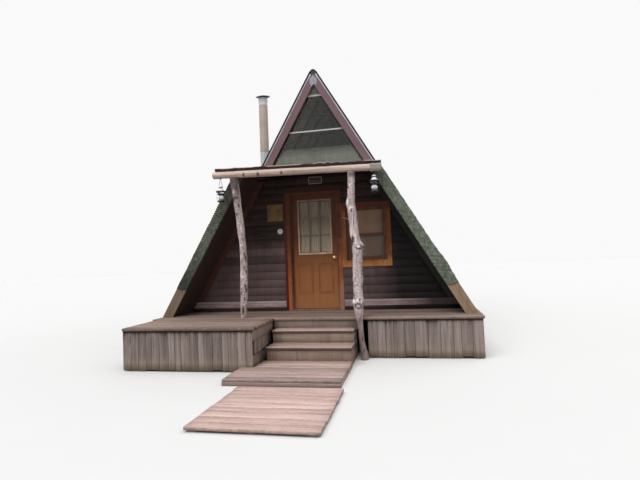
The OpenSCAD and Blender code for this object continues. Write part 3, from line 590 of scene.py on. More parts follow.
class Look:
    """A material in the making: its shader, the place of the point shaded in the row frame, and
    the weather there where a size is given."""

    def __init__(self, name, size=None):
        """Makes the shader, its output and the place of the point shaded."""
        self.material = bpy.data.materials.new(name)
        self.material.use_nodes = True
        self.tree = self.material.node_tree
        self.tree.nodes.clear()
        self.shader = wire(self.tree, "ShaderNodeBsdfPrincipled")
        wire(self.tree, "ShaderNodeOutputMaterial", {"Surface": Value(self.shader.outputs[0])})
        self.here = Value(wire(self.tree, "ShaderNodeTexCoord").outputs["Object"])
        parts = wire(self.tree, "ShaderNodeSeparateXYZ", {"Vector": self.here}).outputs
        self.x, self.y, self.z = self.axes = [Value(part) for part in parts]
        if size:
            self.blotch, self.streak, self.speck = self.placed("Weather", Size=size).values()

    def placed(self, name, **values):
        """A shared group in this material, made the first time that it is asked for."""
        if name not in MADE_GROUPS:
            MADE_GROUPS[name] = GROUP_MAKERS[name](name)
        node = wire(self.tree, "ShaderNodeGroup", {"Vector": self.here, **values},
                    node_tree=MADE_GROUPS[name])
        return {s.name: Value(s) for s in node.outputs}

    def board(self, vector, light, dark, contrast, tone=0.5, spread=0.0):
        """Board grain between a light and a dark colour, its fibres along the vector's x."""
        return self.placed("Board grain", Vector=vector, Light=light, Dark=dark, Tone=tone,
                           Spread=spread, Contrast=contrast)

    def field(self, name, output="Fac"):
        """A field that the mesh keeps at its points."""
        return Value(wire(self.tree, "ShaderNodeAttribute", attribute_name=name).outputs[output])

    def turned(self, *parts):
        """A place put together from three values."""
        return self.here.node("ShaderNodeCombineXYZ", dict(enumerate(parts)))

    def done(self, colour, rough, height=None, depth=0.35, distance=0.004, specular=0.5):
        """The finished material, with a bump of the height where one is given."""
        inputs = self.shader.inputs
        feed(inputs["Base Color"], colour)
        feed(inputs["Roughness"], rough)
        inputs["Specular IOR Level"].default_value = specular
        if height:
            feed(inputs["Normal"], self.here.node("ShaderNodeBump", {
                "Height": height, "Strength": depth, "Distance": distance}))
        return self.material


STAIN_AND_SHADOW = (0.035, 0.026, 0.022)
MOSS = (0.10, 0.115, 0.055)
DUST = (0.32, 0.3, 0.27)
SHADE = (0.007, 0.005, 0.005)
X, Z = 0, 2
FLAT, UPRIGHT = (0, 0, 0), (0, 1.5708, 0)


def patch(axis, begin, end, share, tint, low=9.0, high=10.0):
    """A change in a wood finish: its share comes in from begin to end on an axis, and it is gone
    above the heights."""
    return axis, begin, end, share, tint, low, high


def wood(name, light, dark, turn=None, spread=0.6, contrast=1.0, rough=0.78, green=0.0, foot=None,
         head=None, streak=0.25, shade_and_fade=None, patches=()):
    """Wood in all its finishes: grain between a light and a dark colour, weather streaks, green
    near the foot, and dark stains with painted shadow under the head. The grain follows the
    boards' own field, or is turned where a solid has none. foot and head are heights where those
    begin and end; shade_and_fade is the heights and the colour that the wood takes on towards the
    low end, in part a real weathered fade and in part painted shade left on its upper part."""
    look = Look(name, 1.0)
    if turn is None:
        vector, tone = look.field("grain", "Vector"), look.field("tone")
    else:
        vector, tone = look.here.mapped(Rotation=turn), look.here.noise(0.8, 1)
    board = look.board(vector, light, dark, contrast, tone, spread)
    colour, fibre, height = board["Color"], board["Fibre"], board["Height"]
    # Towards the low end the wood takes a paler colour, so its upper part stays in painted shade;
    # on the siding part of it is a real weathered fade
    if shade_and_fade:
        share = look.z.span(shade_and_fade[0], shade_and_fade[1], 1.0, 0.0) + (look.blotch - 0.5) * 0.5
        colour = mix(share * (fibre * 0.8 + 0.45), colour, shade_and_fade[2])
    for axis, begin, end, share, tint, low, high in patches:
        place = look.axes[axis].span(begin, end) * look.z.span(low, high, 1.0, 0.0)
        colour = mix((place * ((fibre + 0.7) * share)).least(share), colour, tint)
    colour = mix(look.streak * streak, colour, dim(dark, 0.35))
    if green:
        share = look.blotch + 0.35
        colour = mix((look.z.span(*foot, 1.0, 0.0) * share if foot else share) * green, colour,
                     MOSS)
    if head:
        # Under the head the wood darkens: real stains, and painted shadow under the deck's edge
        ramp = look.z.span(*head)
        colour = mix(ramp * ramp * (look.streak * 1.7 + 0.5), colour, STAIN_AND_SHADOW)
    return look.done(colour, height.span(0.2, 0.8, rough + 0.1, rough - 0.12), height,
                     specular=0.2)


def roofing(name, light, dark, worn=None, bare=None, low=None):
    """Roll roofing with stones on it, faded in patches; worn mixes in a bare dark felt, and bare
    is the colour of the threads where the sheet's own field tells that the edge is worn through.
    low is two heights and a share: the dark that it takes on towards the low end."""
    look = Look(name, 1.6)
    stones = look.placed("Roofing granules", Light=light, Dark=dark)
    colour = mix(look.streak * 0.3, stones["Color"], dim(dark, 0.5))
    moss = look.here.noise(27.0, 4, 0.65, (1, 1, 0.7))
    colour = mix(moss.span(0.54, 0.66, 0.0, 0.55), colour, dim(dark, 0.8))
    colour = mix(moss.span(0.32, 0.45, 0.45, 0.0), colour, dim(light, 1.6))
    if worn:
        colour = mix(look.blotch * 0.6, colour, worn)
    if low:
        share = look.z.span(low[0], low[1], 1.0, 0.0) + (look.blotch - 0.5) * 0.4
        colour = mix(share * low[2], colour, dim(dark, 0.6))
    if bare:
        threads = look.field("bare") + (look.speck - 0.5) * 0.5
        colour = mix(threads.span(0.35, 0.75), colour, bare)
    return look.done(colour, look.blotch.span(0, 1, 0.95, 0.8), stones["Height"], 0.5, 0.003, 0.25)


def metal(name, colour, second, rough=0.45, metallic=0.0, scale=3.0, bands=()):
    """Sheet metal, painted or bare: two colours in slow blotches, specks of rust or dust, and
    bands of another colour, each between two heights."""
    look = Look(name, scale)
    colour = mix(look.blotch * 0.8, colour, second)
    for low, high, tint in bands:
        colour = mix(look.z.band(low, high, 0.01), colour, tint)
    colour = mix(look.speck * 0.35, colour, dim(second, 0.5))
    colour = mix(look.streak * 0.3, colour, dim(second, 0.7))
    look.shader.inputs["Metallic"].default_value = metallic
    return look.done(colour, look.blotch.span(0, 1, rough, min(1.0, rough + 0.25)), look.speck,
                     0.06, 0.002, 0.4)


def pane(name, tint, dusty, bend):
    """Window glass: clear and smooth, with dust in blotches that dulls it."""
    look = Look(name, 2.0)
    look.shader.inputs["Transmission Weight"].default_value = 1.0 - 0.05 * dusty
    look.shader.inputs["IOR"].default_value = bend
    return look.done(mix((look.blotch + look.streak) * dusty, tint, DUST),
                     look.blotch.span(0, 1, 0.03, 0.08))


def cloth(name, light, dark, low):
    """Woven shade cloth or slats: fine threads both ways and soft stains; low is two heights and
    the colour that it takes on towards the low end."""
    look = Look(name, 3.0)
    threads = look.here.noise(1.0, 2, 0.5, (700, 700, 60))
    colour = mix(threads, dark, light)
    colour = mix(look.blotch * 0.3, colour, dim(dark, 0.7))
    colour = mix(look.z.span(low[0], low[1], 0.9, 0.0), colour, low[2])
    look.shader.inputs["Sheen Weight"].default_value = 0.04
    return look.done(colour, threads.span(0.3, 0.7, 0.95, 0.75), threads, 0.1, 0.001)


def wing_wood():
    """The wings' wood: dark red-brown boards inside, near black in painted shade on the right wing,
    tan boards at the bare feet. The offset from the rafters' inner face tells the lining, and a
    joint runs where two boards meet."""
    look = Look("Dark lining and tan feet", 1.6)
    side, z = abs(look.x), look.z - DECK
    out = (side - ROOF_IN) * SIN + z * COS
    vector = look.turned(z * SIN - side * COS, out, look.y)
    inner = look.board(vector, (0.060, 0.030, 0.022), (0.020, 0.010, 0.008), 0.8)
    outer = look.board(vector, (0.43, 0.29, 0.175), (0.20, 0.135, 0.085), 0.7)
    foot = mix(look.x.span(-0.1, 0.1, 1.0, 0.0) * 0.62, outer["Color"], (0.10, 0.075, 0.06))
    foot = mix(out.band(0.0765, 0.0815, 0.0015) * 0.85, foot, (0.035, 0.024, 0.018))
    foot = mix(look.streak * 0.35, foot, (0.06, 0.045, 0.035))
    lined = out.span(-0.0100, -0.0080, 1.0, 0.0) * look.y.span(-1.1925, -1.1905)
    # painted shade: the right wing's lining goes near black
    lining = mix(look.x.span(-0.1, 0.1, 0.0, 0.95), inner["Color"], SHADE)
    return look.done(mix(lined, foot, lining), look.blotch.span(0, 1, 0.75, 0.9), outer["Height"])


def wall_trim_wood():
    """The front wall's trim: dark red-brown slanted boards, and at the wall's foot a pale band of
    two strips with a joint between them; towards the right both go near black in painted shade."""
    look = Look("Dark trim and pale foot band", 1.4)
    board = look.board(look.here, (0.110, 0.034, 0.026), (0.036, 0.012, 0.010), 0.8)
    pale = look.board(look.here, (0.56, 0.42, 0.41), (0.22, 0.14, 0.135), 0.9)
    low = mix(look.z.span(DECK + 0.139, DECK + 0.141), pale["Color"], (0.44, 0.37, 0.38))
    low = mix(look.blotch * 0.35, low, (0.16, 0.08, 0.07))
    joint = look.z.band(DECK + 0.1355, DECK + 0.1415, 0.0015)
    low = mix(joint * 0.8, low, (0.03, 0.02, 0.02))
    # painted shade: the pale band goes dark towards the right
    low = mix(look.x.span(1.30, 1.95, 0.0, 0.92), low, (0.030, 0.015, 0.012))
    # painted shade: the slanted boards go near black towards the right
    high = mix(look.x.span(0.30, 0.60, 0.0, 0.96), board["Color"], SHADE)
    return look.done(mix(look.z.span(DECK + 0.1758, DECK + 0.1764), low, high),
                     look.blotch.span(0, 1, 0.7, 0.88), board["Height"], 0.3)


def door_paint():
    """The door's caramel paint, darkened towards the top by painted shade and lit at its foot by
    painted light, with painted shade in the edges of its two low panels: a line where the
    distance to the panel's box is nought and one on the field inside."""
    look = Look("Caramel door paint", 1.5)
    board = look.board(look.here.mapped(Rotation=UPRIGHT), (0.39, 0.155, 0.052),
                       (0.31, 0.112, 0.036), 0.35)
    # painted shade towards the top, painted light at the foot
    colour = mix(look.z.span(DECK + 0.62, DECK + 1.28), board["Color"], (0.098, 0.023, 0.006))
    colour = mix(look.z.span(DECK + 0.10, DECK + 0.50, 0.5, 0.0), colour, (0.44, 0.195, 0.075))
    # painted shade in the recessed edges of the two low panels
    for left, right in ((-0.352, -0.097), (0.016, 0.271)):
        x = abs(look.x - (left + right) / 2) - (right - left) / 2
        away = x.most(abs(look.z - (DECK + 0.553)) - 0.260)
        line = abs(away).span(0.003, 0.016, 1.0, 0.0)
        line = line.most(abs(away + 0.026).span(0.002, 0.012, 0.6, 0.0))
        colour = mix(line * (look.blotch * 0.4 + 0.25), colour, (0.13, 0.038, 0.013))
    colour = mix(look.streak * 0.15, colour, (0.12, 0.045, 0.02))
    return look.done(colour, look.blotch.span(0, 1, 0.42, 0.6), board["Height"], 0.12, 0.003, 0.25)


def light_paint():
    """The door light's frame: a worn cream rim, darker towards the top in painted shade, and dark
    bars inside it.
    """
    look = Look("Cream rim with dark bars", 3.0)
    x0, x1, z0, z1 = LIGHT
    wide, line = 0.032, 0.001
    inside = (look.x.band(x0 + wide, x1 - wide, line)
              * look.z.band(DECK + z0 + wide, DECK + z1 - wide, line))
    rim = mix(look.blotch, (0.70, 0.51, 0.33), (0.50, 0.35, 0.22))
    # painted shade: the rim darkens towards the top
    rim = mix(look.z.span(DECK + 1.25, DECK + 1.75, 0.0, 0.72), rim, (0.09, 0.055, 0.033))
    rim = mix(look.streak * 0.4, rim, (0.16, 0.10, 0.06))
    outer = look.x.span(x0 + 0.0115, x0 + 0.0075).most(look.x.span(x1 - 0.0115, x1 - 0.0075))
    rim = mix(outer * 0.8, rim, (0.22, 0.100, 0.052))
    bars = mix(look.speck, (0.115, 0.090, 0.058), (0.19, 0.15, 0.10))
    return look.done(mix(inside, rim, bars), look.blotch.span(0, 1, 0.45, 0.65), look.speck,
                     0.06, 0.002)


def rake_paint():
    """Brown-red rake boards whose paint has gone from the peak, where the bare wood is grey."""
    look = Look("Rake paint with a bare peak", 2.2)
    side, z = abs(look.x), look.z
    vector = look.turned(z * SIN - side * COS, z * COS + side * SIN, look.y)
    board = look.board(vector, (0.235, 0.125, 0.137), (0.125, 0.063, 0.071), 0.7)
    bare = look.board(vector, (0.66, 0.63, 0.74), (0.22, 0.205, 0.25), 1.2, tone=0.6)
    peak = z.span(DECK + 4.02, DECK + 4.16) * side.span(0.045, 0.090, 1.0, 0.0)
    peak = peak + (board["Height"] - 0.5) * 0.5 + (look.here.noise(21.0, 3, 0.6) - 0.5) * 1.1
    chips = (look.speck + board["Fibre"] * 0.6).span(0.95, 1.3)
    mask = peak.span(0.45, 0.6).most(chips * 0.35)
    faded = mix(z.span(DECK + 2.35, DECK + 2.95, 0.55, 0.0), board["Color"], (0.31, 0.215, 0.205))
    colour = mix(look.streak * 0.25, mix(mask, faded, bare["Color"]), (0.06, 0.035, 0.035))
    top = (z + side * 0.9 + (look.speck - 0.5) * 0.012).span(DECK + 4.270, DECK + 4.318)
    colour = mix(top * side.span(0.085, 0.10, 1.0, 0.0), colour, (0.075, 0.062, 0.062))
    return look.done(colour, mask.span(0, 1, 0.55, 0.85), board["Height"] - mask * 0.4,
                     distance=0.003)


def log_finish(name, light, dark, knot_colour, scars=False):
    """Peeled log: long soft streaks along the wood, dark rings on the knots, and where it is
    scarred, dark flecks of bark that are thick near the foot. The mark field lays on pale and
    dark scars, and some painted shade and painted highlights."""
    look = Look(name)
    grain = look.field("grain", "Vector")
    streak = grain.noise(1.0, 5, 0.6, (3, 38, 38))
    fine = grain.noise(1.0, 4, 0.7, (22, 260, 260))
    share = streak * 0.6 + fine * 0.25 + look.here.noise(3.1, 3, 0.5) * 0.3
    colour = mix(share.span(0.36, 0.78), dark, light)
    colour = mix(look.field("knot").span(0.25, 0.85, 0.0, 0.85), colour, knot_colour)
    height = streak + fine * 0.4
    if scars:
        fleck = grain.mapped(Scale=(13, 22, 22)).noise(1.0, 5, 0.65, distortion=0.6)
        fleck = fleck.span(0.55, 0.64)
        colour = mix(fleck * look.z.span(0.75, 1.95, 0.92, 0.25), colour, knot_colour)
        rings = grain.noise(1.0, 4, 0.7, (60, 24, 24))
        colour = mix(rings.span(0.54, 0.66, 0.0, 0.8), colour, knot_colour)
        colour = mix(rings.span(0.32, 0.46, 0.75, 0.0), colour, (0.84, 0.72, 0.72))
        colour = mix(look.z.span(0.55, 0.78, 1.0, 0.0) * 0.62, colour, (0.15, 0.094, 0.085))
        height = height - fleck * 0.5
    # the mark field: scars, and some painted shade and painted highlights
    mark = look.field("mark") + (fine - 0.5) * 0.8
    colour = mix(mark.span(-1.0, -0.3, 0.9, 0.0), colour, (0.88, 0.80, 0.78))
    colour = mix(mark.span(0.30, 0.95, 0.0, 0.92), colour, (0.060, 0.038, 0.038))
    return look.done(colour, streak.span(0.3, 0.7, 0.82, 0.6), height, 0.4, 0.006, 0.35)


FINISH_MAKERS = {
    "deck": lambda: wood("Weathered deck boards", (0.34, 0.245, 0.205), (0.12, 0.082, 0.068),
                         spread=0.5, green=0.05, streak=0.2),
    "joist": lambda: wood("Weathered joists", (0.26, 0.20, 0.165), (0.08, 0.058, 0.048), FLAT),
    "fascia": lambda: wood("Grey fascia boards", (0.34, 0.26, 0.22), (0.13, 0.095, 0.08),
                           green=0.1),
    "skirt": lambda: wood(
        "Grey skirt boards", (0.405, 0.322, 0.293), (0.157, 0.124, 0.112), spread=0.5,
        contrast=1.1, green=0.1, foot=(0.0, 0.26), head=(0.41, 0.575), streak=0.45,
        patches=(patch(Z, 0.22, 0.02, 0.40, (0.50, 0.38, 0.22)),
                 # painted shadow: a dark band just under the deck's edge
                 patch(Z, 0.530, 0.560, 0.9, (0.040, 0.019, 0.011)))),
    "tread": lambda: wood(
        "Worn treads", (0.49, 0.345, 0.30), (0.17, 0.118, 0.10), green=0.06, streak=0.15,
        patches=(*(patch(Z, DECK + top - 0.040, DECK + top - 0.039, 0.80, (0.050, 0.031, 0.028),
                         DECK + top - 0.013, DECK + top - 0.005) for top in TREAD_TOPS),
                 patch(Z, DECK + TREAD_TOPS[1], DECK + TREAD_TOPS[1] - 0.005, 0.12,
                       (0.20, 0.15, 0.14)))),
    "riser": lambda: wood(
        "Weathered risers", (0.395, 0.275, 0.222), (0.155, 0.110, 0.088), green=0.2,
        foot=(0.0, 0.45), streak=0.35, patches=(patch(Z, 0.262, 0.268, 0.28, (0.66, 0.52, 0.41)),)),
    "landing": lambda: wood("Landing boards", (0.56, 0.41, 0.365), (0.20, 0.145, 0.13),
                            green=0.05, streak=0.15),
    "walk": lambda: wood("Pinkish walk boards", (0.72, 0.52, 0.47), (0.31, 0.215, 0.19),
                         spread=0.5, streak=0.15),
    "siding": lambda: wood(
        "Dark siding", (0.062, 0.038, 0.032), (0.016, 0.010, 0.009), spread=0.5, rough=0.7,
        # paler low down: painted shade on the upper wall under the porch, in part a real greyer
        # fade
        shade_and_fade=(1.55, 1.92, (0.155, 0.105, 0.104)),
        # painted shade: near black at the upper right, under the right wing
        patches=(patch(X, 1.22, 1.34, 0.9, (0.010, 0.008, 0.008), 1.52, 1.22),
                 patch(Z, 1.448, 1.456, 0.50, (0.030, 0.019, 0.018), 1.576, 1.590),
                 # painted shade: the lowest course is darker at the wall's foot
                 patch(Z, 0.668, 0.658, 0.75, (0.018, 0.012, 0.011)),
                 patch(Z, 1.592, 1.600, 0.34, (0.230, 0.162, 0.155), 1.725, 1.740),
                 # painted shade: near black on the right, under the right wing
                 patch(X, 0.98, 1.52, 0.96, (0.009, 0.007, 0.007)))),
    "sheathing": lambda: wood("Dark sheathing", (0.07, 0.05, 0.045), (0.02, 0.014, 0.012), FLAT),
    "trim": wall_trim_wood,
    "inner": lambda: wood("Bare inside wood", (0.42, 0.29, 0.18), (0.2, 0.12, 0.07), FLAT,
                          rough=0.7),
    "rake": rake_paint,
    "drip": lambda: metal("Pale drip edge", (0.70, 0.67, 0.72), (0.48, 0.45, 0.48), 0.55),
    "roof": lambda: roofing("Green roll roofing", (0.235, 0.275, 0.205), (0.055, 0.07, 0.055)),
    "wing_roof_left": lambda: roofing("Mossy green roofing", (0.185, 0.195, 0.155),
                                      (0.036, 0.043, 0.032), low=(1.2, 1.75, 0.75)),
    "wing_roof_right": lambda: roofing("Grey-green roofing", (0.245, 0.27, 0.208),
                                       (0.055, 0.067, 0.050), low=(0.95, 1.5, 0.42)),
    "lip": lambda: roofing("Dark roofing lip", (0.040, 0.037, 0.042), (0.012, 0.011, 0.013)),
    "felt": lambda: roofing("Worn dark felt", (0.085, 0.075, 0.068), (0.018, 0.016, 0.015),
                            worn=(0.12, 0.09, 0.07)),
    "porch_felt": lambda: roofing("Porch felt with a bare edge", (0.085, 0.075, 0.068),
                                  (0.018, 0.016, 0.015), worn=(0.12, 0.09, 0.07),
                                  bare=(0.52, 0.44, 0.41)),
    "wing": wing_wood,
    "casing": lambda: wood(
        "Stained casings", (0.195, 0.064, 0.032), (0.068, 0.022, 0.012), UPRIGHT, rough=0.6,
        # paler low: painted shade leaves the casing's upper part dark under the porch
        shade_and_fade=(0.9, 1.9, (0.62, 0.160, 0.042)),
        patches=(patch(X, -0.527, -0.531, 1.0, (0.085, 0.015, 0.011)),
                 patch(X, 0.30, 0.36, 0.75, (0.36, 0.205, 0.15), 0.80, 1.35),
                 patch(Z, DECK + 2.083, DECK + 2.088, 0.9, (0.036, 0.017, 0.012)))),
    "window": lambda: wood(
        "Stained window trim", (0.38, 0.13, 0.048), (0.14, 0.046, 0.018), UPRIGHT, rough=0.55,
        # paler low and darker at the head: painted shade on the trim's upper part under the porch
        shade_and_fade=(1.25, 1.50, (0.90, 0.40, 0.13)),
        patches=(patch(Z, DECK + 1.68, DECK + 1.78, 0.8, (0.115, 0.029, 0.015)),)),
    "sash": lambda: wood("Stained sashes", (0.20, 0.085, 0.045), (0.08, 0.034, 0.02), UPRIGHT,
                         rough=0.55),
    "jamb": lambda: wood("Stained jamb", (0.2, 0.085, 0.04), (0.06, 0.025, 0.013), UPRIGHT,
                         rough=0.6, shade_and_fade=(0.6, 1.1, (0.3, 0.2, 0.14))),
    "door": door_paint,
    "light": light_paint,
    "door_glass": lambda: pane("Door glass", (0.96, 0.97, 0.94), 0.08, 1.22),
    "glass": lambda: pane("Window glass", (0.95, 0.95, 0.92), 0.08, 1.2),
    "gable_glass": lambda: pane("Gable glass", (0.80, 0.84, 0.80), 0.10, 1.36),
    "gable": lambda: wood(
        "Gable boards", (0.47, 0.45, 0.405), (0.25, 0.235, 0.21), FLAT, contrast=0.5,
        patches=(patch(Z, DECK + 3.92, DECK + 3.96, 0.8, (0.085, 0.085, 0.078)),
                 patch(Z, DECK + 2.79, DECK + 2.95, 0.80, (0.075, 0.075, 0.068),
                       DECK + 3.00, DECK + 3.02))),
    "bar": lambda: metal("Pale paint", (0.72, 0.69, 0.62), (0.5, 0.46, 0.4), 0.6),
    "brass": lambda: metal("Worn brass", (0.72, 0.53, 0.24), (0.5, 0.34, 0.14), 0.28, 1.0),
    "blind": lambda: cloth("Beige slats", (0.345, 0.195, 0.118), (0.22, 0.122, 0.07),
                           (DECK + 1.27, DECK + 1.33, (0.165, 0.110, 0.090))),
    # the curtain's paler low end is painted light, its upper part left in painted shade
    "curtain": lambda: cloth("Olive curtain", (0.24, 0.175, 0.115), (0.15, 0.105, 0.07),
                             (DECK + 1.05, DECK + 1.55, (0.44, 0.345, 0.25))),
    "porch": lambda: wood("Dark porch boards", (0.085, 0.055, 0.043), (0.028, 0.018, 0.015)),
    "log": lambda: log_finish("Peeled tan log", (0.77, 0.605, 0.52), (0.45, 0.315, 0.255),
                              (0.16, 0.095, 0.065)),
    "block": lambda: wood("Grey block", (0.66, 0.58, 0.55), (0.27, 0.225, 0.205), streak=0.2),
    "post": lambda: log_finish("Grey-pink peeled post", (0.73, 0.60, 0.585), (0.30, 0.23, 0.22),
                               (0.09, 0.064, 0.059), scars=True),
    "flue": lambda: metal(
        "Tan flue with grey ends", (0.58, 0.475, 0.415), (0.44, 0.35, 0.30), 0.5, scale=1.2,
        bands=((1.0, 4.02, (0.60, 0.62, 0.65)), (5.13, 5.32, (0.80, 0.78, 0.86)))),
    "flashing": lambda: metal("Dull flashing", (0.46, 0.47, 0.48), (0.28, 0.28, 0.28), 0.45, 0.6),
    "cap": lambda: metal("Black cap", (0.022, 0.021, 0.022), (0.05, 0.045, 0.045), 0.5),
    "black": lambda: metal("Black lantern metal", (0.02, 0.019, 0.018), (0.05, 0.045, 0.04), 0.4),
    "enamel": lambda: metal("White enamel", (0.93, 0.91, 0.93), (0.78, 0.75, 0.77), 0.3,
                            scale=6.0),
    "globe": lambda: metal("Milk glass", (0.95, 0.94, 0.97), (0.84, 0.82, 0.86), 0.15, scale=5.0),
    "lantern_glass": lambda: pane("Lantern glass", (0.92, 0.93, 0.95), 0.10, 1.4),
    "ochre": lambda: metal("Bare ochre sheet", (0.21, 0.117, 0.031), (0.11, 0.058, 0.024), 0.5,
                           scale=5.0),
    "plate": lambda: metal("Bare dark plate", (0.09, 0.075, 0.07), (0.05, 0.04, 0.038), 0.6,
                           scale=5.0),
    "nail": lambda: metal("Nail heads", (0.14, 0.12, 0.11), (0.10, 0.05, 0.03), 0.5, 0.6,
                          scale=8.0),
}
CAD_FINISHES = {
    "floor": "inner", "floor_joists": "joist", "deck_joists": "joist",
    "front_wall_left": "sheathing", "front_wall_right": "sheathing",
    "front_wall_over_door": "sheathing", "back_wall": "sheathing", "gable_glass": "gable_glass",
    "gable_frame": "gable", "gable_bars": "bar", "roof_left": "felt", "roof_right": "felt",
    "rafters": "inner", "wing_frames": "wing", "rake_boards": "rake", "wall_trim": "trim",
    "door_frame": "jamb", "door_casing": "casing", "door_slab": "door",
    "door_lite_frame": "light", "door_glass": "door_glass", "door_knob": "brass",
    "door_hinges": "brass", "window_casings": "window", "window_sashes": "sash",
    "window_glass": "glass", "flue_pipe": "flue", "flue_flashing": "flashing", "flue_cap": "cap",
}


def finish(name):
    """The finish of that name, made when it is first asked for."""
    if name not in MADE_FINISHES:
        MADE_FINISHES[name] = FINISH_MAKERS[name]()
    return MADE_FINISHES[name]


class CabinSizes(bpy.types.PropertyGroup):
    """Sizes and counts of the cabin's visible boards and sheets."""
    deck_board: bpy.props.FloatProperty(
        name="Deck board", description="Width of a deck board with its gap", default=0.146,
        min=0.09, max=0.25, unit="LENGTH")
    skirt_board: bpy.props.FloatProperty(
        name="Skirt board", description="Mean width of an upright skirt board", default=0.118,
        min=0.07, max=0.2, unit="LENGTH")
    course: bpy.props.FloatProperty(
        name="Siding course", description="Height of one course of siding", default=0.14,
        min=0.08, max=0.25, unit="LENGTH")
    roll: bpy.props.FloatProperty(
        name="Roofing roll", description="Width of one course of roll roofing", default=0.86,
        min=0.4, max=1.0, unit="LENGTH")
    slats: bpy.props.IntProperty(
        name="Blind slats", description="Number of slats in each window", default=38, min=10,
        max=80)


class CabinLook(bpy.types.PropertyGroup):
    """The stage's light and colours."""
    floor_colour: bpy.props.FloatVectorProperty(
        name="Floor", description="Colour of the stage's floor", default=(0.66, 0.655, 0.65),
        size=3, min=0, max=1, subtype="COLOR")
    sky: bpy.props.FloatProperty(
        name="Sky light", description="Strength of the even light from all round", default=0.46,
        min=0, max=3)
    lamp: bpy.props.FloatProperty(
        name="Soft lamp", description="Strength of the wide soft lamp above the front",
        default=2.05, min=0, max=10)


def made(piece):
    """Ends an operator, with an error where its last piece is missing."""
    if not piece:
        raise RuntimeError("a piece of the cabin was not made")
    return {"FINISHED"}


def looked_at(tree):
    """1 for rays that see directly, in mirrors or through glass, 0 for those that light things."""
    path = wire(tree, "ShaderNodeLightPath").outputs
    camera, glass, mirror = (Value(path["Is %s Ray" % kind])
                             for kind in ("Camera", "Transmission", "Glossy"))
    return camera.most(glass).most(mirror)


def aimed(name, data, right, up, ahead, place):
    """A camera or lamp at its place that looks ahead, with its right and its up."""
    holder = bpy.data.objects.new(name, data)
    bpy.context.scene.collection.objects.link(holder)
    ahead = -np.asarray(ahead)
    holder.matrix_world = Matrix([(*parts,) for parts in zip(right, up, ahead, place)]
                                 + [(0, 0, 0, 1)])
    return holder


class CabinOperator:
    """What all the cabin's operators share"""
    bl_options = {"REGISTER", "UNDO"}


class CABIN_OT_stage(CabinOperator, bpy.types.Operator):
    """Lays the floor, sets the lights and the world, and stands the camera where the photo's was"""
    bl_idname = "cabin.stage"
    bl_label = "Stage, light and camera"

    def execute(self, context):
        scene, settings, half = context.scene, context.scene.cabin_look, 60.0
        mesh = bpy.data.meshes.new("stage_floor")
        mesh.from_pydata([(-half, -half, 0), (half, -half, 0), (half, half, 0), (-half, half, 0)],
                         [], [(0, 1, 2, 3)])
        floor = bpy.data.objects.new("stage_floor", mesh)
        scene.collection.objects.link(floor)
        look, tint = Look("Stage floor"), tuple(settings.floor_colour)
        pale = mix(look.here.noise(0.7, 3), tint, dim(tint, 0.97))
        mesh.materials.append(look.done(mix(looked_at(look.tree), dim(tint, 0.3), pale), 0.9))

        world = scene.world = bpy.data.worlds.new("Stage sky")
        world.use_nodes = True
        tree = world.node_tree
        tree.nodes.clear()
        skies = [Value(wire(tree, "ShaderNodeBackground", {"Color": c, "Strength": s}).outputs[0])
                 for c, s in (((0.97, 0.98, 1.0), settings.sky), ((0.95, 0.95, 0.95), 1.0))]
        sky = skies[0].node("ShaderNodeMixShader", {0: looked_at(tree), 1: skies[0], 2: skies[1]})
        wire(tree, "ShaderNodeOutputWorld", {"Surface": sky})

        for name, place, spread, share in (("soft_front", (-0.30, -0.62, 1.0), 55.0, 1.0),
                                           ("soft_top", (0.45, 0.10, 1.0), 80.0, 0.75)):
            lamp = bpy.data.lights.new(name, "SUN")
            lamp.angle, lamp.energy = math.radians(spread), settings.lamp * share
            ahead = -np.array(place) / np.linalg.norm(place)
            right = np.cross(ahead, (0, 0, 1.0))
            right /= np.linalg.norm(right)
            aimed(name, lamp, right, np.cross(right, ahead), ahead, np.array(place) * 12)

        camera = bpy.data.cameras.new("camera")
        camera.sensor_width, camera.sensor_fit = 36.0, "HORIZONTAL"
        focal_pixels, photo_pixels = 458.493, 640.0
        camera.lens = focal_pixels * camera.sensor_width / photo_pixels
        camera.clip_end = 300.0
        scene.camera = aimed("camera", camera, right=(0.97850053, 0.20257314, -0.03874074),
                             up=(0.04612705, -0.03186771, 0.99842714),
                             ahead=(-0.20101994, 0.97874847, 0.04052667),
                             place=row((1.690, -7.903, 0.901)))
        scene.view_settings.view_transform = "Standard"
        return made(scene.camera)


class CABIN_OT_deck(CabinOperator, bpy.types.Operator):
    """Lays the deck's boards: the strip before the wall and the left platform"""
    bl_idname = "cabin.deck"
    bl_label = "Deck boards"

    def execute(self, context):
        width = context.scene.cabin_sizes.deck_board
        strip = floor_boards(*STRIP, 0.0, LUMBER, width, 11, drop=0.003)
        platform = floor_boards(*PLATFORM, 0.0, LUMBER, width, 12, drop=0.004)
        return made(put("deck_planks", join(strip, platform), "deck",
                        ["deck_boards"]))


